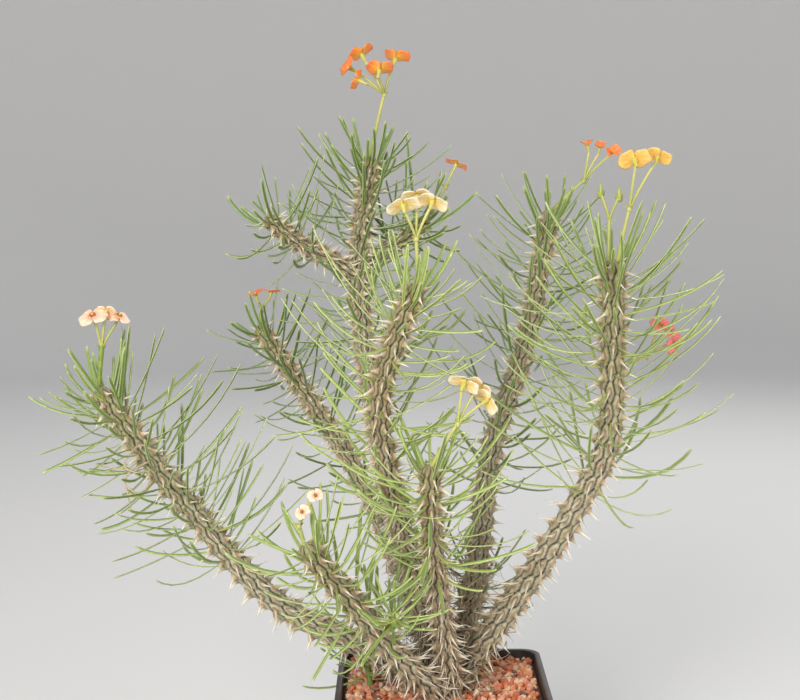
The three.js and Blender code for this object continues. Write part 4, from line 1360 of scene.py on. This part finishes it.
class EUPHORBIA_OT_crown(bpy.types.Operator):
    """Builds the woody crown that the stems grow from"""

    bl_idname = "euphorbia.crown"
    bl_label = "Woody crown"

    def execute(self, context):
        outline = np.array(CROWN["outline"], float) * MM
        rows, sides = 90, 128
        height = np.linspace(outline[0, 1], outline[-1, 1], rows)
        radius = np.interp(height, outline[:, 1], outline[:, 0])
        bearing = round_angles(sides)
        grid_height = np.repeat((height - height[0])[:, None], sides, 1)
        grid_bearing = np.repeat(bearing[None], rows, 0)
        u, _, number, groove, crease = shield_pattern(
            CROWN["columns"], CROWN["shield"], grid_height, grid_bearing)
        swell = context.scene.euphorbia_plant.shield_relief * (0.6 - 0.6 * u.clip(-1, 1)**2 - 0.9 * groove)
        size = (radius[:, None] + swell * smooth(2 * MM, 9 * MM, radius)[:, None])[..., None]
        around = np.stack([np.cos(bearing), np.sin(bearing), 0 * bearing], 1)
        rings = size * around + height[:, None, None] * UP
        skin = Skin()
        # groove and crease paint shade into the crown's grooves and creases, and under=0.3 paints a little
        # shade over all of it
        skin.closed_strips(rings[None], rings[0].mean(0)[None], rings[-1].mean(0)[None], groove=groove[None],
                           crease=crease[None], boss=0.0, under=0.3, tint=scatter(number, 1)[None], young=0.0)
        skin.make("woody_crown", bark_material("bark_crown", 0.7), "bark", "root_crown")
        return {"FINISHED"}


class EUPHORBIA_OT_spines(bpy.types.Operator):
    """Builds the spines of every stem"""

    bl_idname = "euphorbia.spines"
    bl_label = "Spines"

    def execute(self, context):
        material = spine_material()
        for seed, (name, stem) in enumerate(STEMS.items()):
            skin = Skin()
            add_stem_spines(skin, stem, seed, context.scene.euphorbia_plant)
            skin.make(f"spines_{name}", material, "bark")
        return {"FINISHED"}


class EUPHORBIA_OT_leaves(bpy.types.Operator):
    """Builds the crown of leaves of every stem and shoot"""

    bl_idname = "euphorbia.leaves"
    bl_label = "Leaves"

    def execute(self, context):
        settings = context.scene.euphorbia_plant
        for seed, (name, stem) in enumerate({**STEMS, **SHOOTS}.items()):
            skin = Skin()
            add_leaves(skin, leaf_seats(stem, seed, settings.companion_share), settings)
            if name in SHOOTS:
                add_shoot_peg(skin, stem)
            material = leaf_material(f"leaf_{name}", stem["painted_light"])
            skin.make(f"foliage_{name}", material, "leaf", f"leaves_{name}")
        return {"FINISHED"}


def add_shoot_peg(skin, shoot):
    """The short green stem of a young shoot."""
    path = spline(np.array(shoot["route"]) * MM, 12)
    radius = np.linspace(shoot["radius"][0], shoot["radius"][1], 12) * MM
    # edge=0.3 gives the peg a little of the leaves' painted edge highlight
    add_tube(skin, path, radius, 12, edge=0.3, tint=0.6)


class EUPHORBIA_OT_stalks(bpy.types.Operator):
    """Builds the forked flower stalks, and the stalk with unopened buds"""

    bl_idname = "euphorbia.stalks"
    bl_label = "Flower stalks"

    def execute(self, context):
        settings = context.scene.euphorbia_flower
        material = stalk_material()
        for name, cluster in CLUSTERS.items():
            skin = Skin()
            add_cluster_stalk(skin, cluster, settings)
            add_scale_leaves(skin, cluster["fork"], 3.4 * MM, 1.4, cluster["green"])
            skin.make(f"stalk_{name}", material, "flower_stalk", f"flower_stalk_{name}")
        skin = Skin()
        path = bowed(BUD_STALK["start"], BUD_STALK["fork"], 12)
        add_tube(skin, path, settings.stalk_radius * np.linspace(1.05, 0.8, 12), 10, green=0.4)
        for place in BUD_STALK["buds"]:
            add_tube(skin, bowed(BUD_STALK["fork"], place, 8), 0.75 * settings.stalk_radius, 8, green=0.4)
            add_bud(skin, place)
        skin.make("stalk_right_front_buds", material, "flower_stalk", "flower_stalk_right_front_buds")
        return {"FINISHED"}


class EUPHORBIA_OT_bracts(bpy.types.Operator):
    """Builds the two bracts of every flower head"""

    bl_idname = "euphorbia.bracts"
    bl_label = "Bracts"

    def execute(self, context):
        settings = context.scene.euphorbia_flower
        materials = {colour: bract_material(colour) for colour in BRACT_COLOURS}
        for name, cluster in CLUSTERS.items():
            for i, head in enumerate(all_heads(cluster)):
                skin = Skin()
                for side in (1, -1):
                    add_bract(skin, head, side, cluster["rise"], settings.bract_thickness, 10 * i + side)
                colour = cluster["colour"]
                nodes = [f"flower_{name}_{i + 1}"] if i < len(cluster["heads"]) else []
                skin.make(f"bracts_{name}_{i + 1}", materials[colour], f"bract_{colour}", *nodes)
        return {"FINISHED"}


class EUPHORBIA_OT_cups(bpy.types.Operator):
    """Builds the cups, glands and stamens of the flower heads"""

    bl_idname = "euphorbia.cups"
    bl_label = "Cups"

    def execute(self, context):
        material = cup_material()
        for name, cluster in CLUSTERS.items():
            skin = Skin()
            for head in all_heads(cluster):
                add_cup(skin, head, context.scene.euphorbia_flower)
            skin.make(f"cups_{name}", material, "flower_stalk")
        return {"FINISHED"}


class EUPHORBIA_OT_dry_growth(bpy.types.Operator):
    """Builds the dry curled stalks and the dry fibres between the feet of the stems"""

    bl_idname = "euphorbia.dry_growth"
    bl_label = "Dry growth"

    def execute(self, context):
        material = dry_material()
        skin = Skin()
        for route in DRY_CURLS:
            add_tube(skin, spline(np.array(route) * MM, 40), np.linspace(0.65, 0.35, 40) * MM, 6, tint=0.1)
        skin.make("dry_curled_stalks", material, "bark")
        skin = Skin()
        random = np.random.default_rng(11)
        for _ in range(DRY_FIBRES["count"]):
            angle = random.uniform(0, 2 * np.pi)
            way = np.array([np.cos(angle), np.sin(angle), 0])
            start = way * random.uniform(DRY_FIBRES["nearest"], DRY_FIBRES["furthest"])
            start[2] = DRY_FIBRES["foot"] + DRY_FIBRES["rise"] * random.random() ** 2
            steps = random.normal(size=(3, 3)) * DRY_FIBRES["step"]
            route = start + np.concatenate([[[0, 0, 0]], np.cumsum(steps, 0)])
            route[:, 2] = np.maximum(route[:, 2], DRY_FIBRES["lowest"])
            radius = random.uniform(0.25, 0.5) * MM * np.linspace(1, 0.4, 14)
            add_tube(skin, spline(route * MM, 14), radius, 5, tint=random.random())
        skin.make("dry_fibres", material, "bark")
        return {"FINISHED"}


class EUPHORBIA_OT_gravel(bpy.types.Operator):
    """Builds the loose top grains of the gravel, and finishes its bed and the potting mix"""

    bl_idname = "euphorbia.gravel"
    bl_label = "Gravel and potting mix"

    def execute(self, context):
        _, top_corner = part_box("gravel_layer")
        skin = Skin()
        grain = context.scene.euphorbia_pot.grain
        add_gravel(skin, np.random.default_rng(5), top_corner.x - 0.5 * grain, top_corner.z, grain)
        skin.make("gravel_grains", gravel_material(), "gravel", shade_smooth=False)
        for node, name, base, patch, scale in BEDS:
            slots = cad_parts[node].data.materials
            slots.clear()
            slots.append(bed_material(name, base, patch, scale))
        return {"FINISHED"}


class EUPHORBIA_OT_pot(bpy.types.Operator):
    """Builds the square nursery pot"""

    bl_idname = "euphorbia.pot"
    bl_label = "Pot"

    def execute(self, context):
        settings = context.scene.euphorbia_pot
        _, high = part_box("pot")
        skin = Skin()
        add_pot(skin, POT_FOOT_WIDTH, POT_TOP_WIDTH, 2 * high.x, high.z, settings)
        pot = skin.make("nursery_pot", plastic_material(settings.plastic_colour), "nursery_pot", "pot")
        cut_drain_holes(pot, DRAIN_REACH, settings.drain_hole)
        for polygon in pot.data.polygons:
            polygon.use_smooth = True
        return {"FINISHED"}


class EUPHORBIA_OT_stage(bpy.types.Operator):
    """Builds the floor with its round backdrop, the soft lights and the camera"""

    bl_idname = "euphorbia.stage"
    bl_label = "Stage"

    def execute(self, context):
        settings = context.scene.euphorbia_stage
        self.make_floor(settings)
        self.make_light("key", (-0.6, -1.7, 1.0), 0.7, 38, (1.0, 0.98, 0.94))
        self.make_light("fill", (1.5, -1.1, 0.8), 1.2, 9, (0.96, 0.98, 1.0))
        self.make_light("back", (0.6, 1.5, 1.6), 1.2, 14, (1.0, 1.0, 1.0))
        world = bpy.data.worlds.new("studio")
        world.use_nodes = True
        background = world.node_tree.nodes["Background"]
        background.inputs["Color"].default_value = (0.92, 0.94, 1.0, 1)
        background.inputs["Strength"].default_value = 0.4
        context.scene.world = world
        context.scene.view_settings.view_transform = "Standard"
        camera_data = bpy.data.cameras.new("camera")
        camera_data.lens = settings.camera_lens
        camera_data.sensor_width = 36
        camera_data.clip_start = 0.01
        camera = bpy.data.objects.new("camera", camera_data)
        camera.location = settings.camera_place
        camera.rotation_euler = (math.pi / 2 - settings.camera_pitch, 0, 0)
        context.scene.collection.objects.link(camera)
        context.scene.camera = camera
        return {"FINISHED"}

    def make_floor(self, settings):
        """A flat disc whose edge curves up into a low round wall."""
        flat, bend, wall = settings.floor_radius, 1.0, 1.6
        curve = np.linspace(0, np.pi / 2, 16)
        radii = np.concatenate([[0.02, 0.5 * flat, flat], flat + bend * np.sin(curve[1:]), [flat + bend]])
        heights = np.concatenate([[0, 0, 0], bend - bend * np.cos(curve[1:]), [wall]])
        sides = 96
        cosine, sine = circle(sides)
        levels = np.repeat(heights[:, None], sides, 1)
        points = np.stack([radii[:, None] * cosine, radii[:, None] * sine, levels], -1)
        here = np.arange(sides)
        after = np.roll(here, -1)
        row = (np.arange(len(radii) - 1) * sides)[:, None]
        quads = [row + here, row + here + sides, row + after + sides, row + after]
        quads = np.stack(quads, -1).reshape(-1, 4)
        mesh = bpy.data.meshes.new("floor")
        faces = quads.tolist() + [here.tolist()]
        mesh.from_pydata(points.reshape(-1, 3).tolist(), [], faces)
        mesh.polygons.foreach_set("use_smooth", np.full(len(faces), True))
        mesh.materials.append(floor_material(settings.floor_colour))
        floor = bpy.data.objects.new("floor", mesh)
        bpy.context.scene.collection.objects.link(floor)

    def make_light(self, name, place, size, power, colour):
        """A square soft light aimed at the middle of the plant."""
        data = bpy.data.lights.new(name, "AREA")
        data.size = size
        data.energy = power
        data.color = colour
        light = bpy.data.objects.new(name, data)
        place = np.array(place)
        aim = np.array([0.0, 0.0, 0.25]) - place
        light.location = place
        yaw = math.atan2(aim[1], aim[0]) - math.pi / 2
        tilt = math.atan2(math.hypot(aim[0], aim[1]), -aim[2])
        light.rotation_euler = (tilt, 0, yaw)
        bpy.context.scene.collection.objects.link(light)


class EUPHORBIA_PT_panel(bpy.types.Panel):
    """Lists the steps that build the plant"""

    bl_idname = "EUPHORBIA_PT_panel"
    bl_label = "Euphorbia"
    bl_space_type = "VIEW_3D"
    bl_region_type = "UI"
    bl_category = "Euphorbia"

    def draw(self, context):
        for step in STEPS:
            self.layout.operator(step.bl_idname)


STEPS = (
    EUPHORBIA_OT_stage,
    EUPHORBIA_OT_pot,
    EUPHORBIA_OT_gravel,
    EUPHORBIA_OT_crown,
    EUPHORBIA_OT_bark,
    EUPHORBIA_OT_spines,
    EUPHORBIA_OT_leaves,
    EUPHORBIA_OT_stalks,
    EUPHORBIA_OT_cups,
    EUPHORBIA_OT_bracts,
    EUPHORBIA_OT_dry_growth,
)
SETTINGS = {
    "euphorbia_plant": EuphorbiaPlantSettings,
    "euphorbia_flower": EuphorbiaFlowerSettings,
    "euphorbia_pot": EuphorbiaPotSettings,
    "euphorbia_stage": EuphorbiaStageSettings,
}


def register():
    """Registers the settings, the operators and the panel."""
    for name, group in SETTINGS.items():
        bpy.utils.register_class(group)
        setattr(bpy.types.Scene, name, bpy.props.PointerProperty(type=group))
    for step in STEPS:
        bpy.utils.register_class(step)
    bpy.utils.register_class(EUPHORBIA_PT_panel)


def unregister():
    """Undoes register."""
    bpy.utils.unregister_class(EUPHORBIA_PT_panel)
    for step in reversed(STEPS):
        bpy.utils.unregister_class(step)
    for name, group in SETTINGS.items():
        delattr(bpy.types.Scene, name)
        bpy.utils.unregister_class(group)


def main():
    register()
    for step in STEPS:
        getattr(bpy.ops.euphorbia, step.bl_idname.removeprefix("euphorbia."))()


if __name__ == "__main__":
    main()
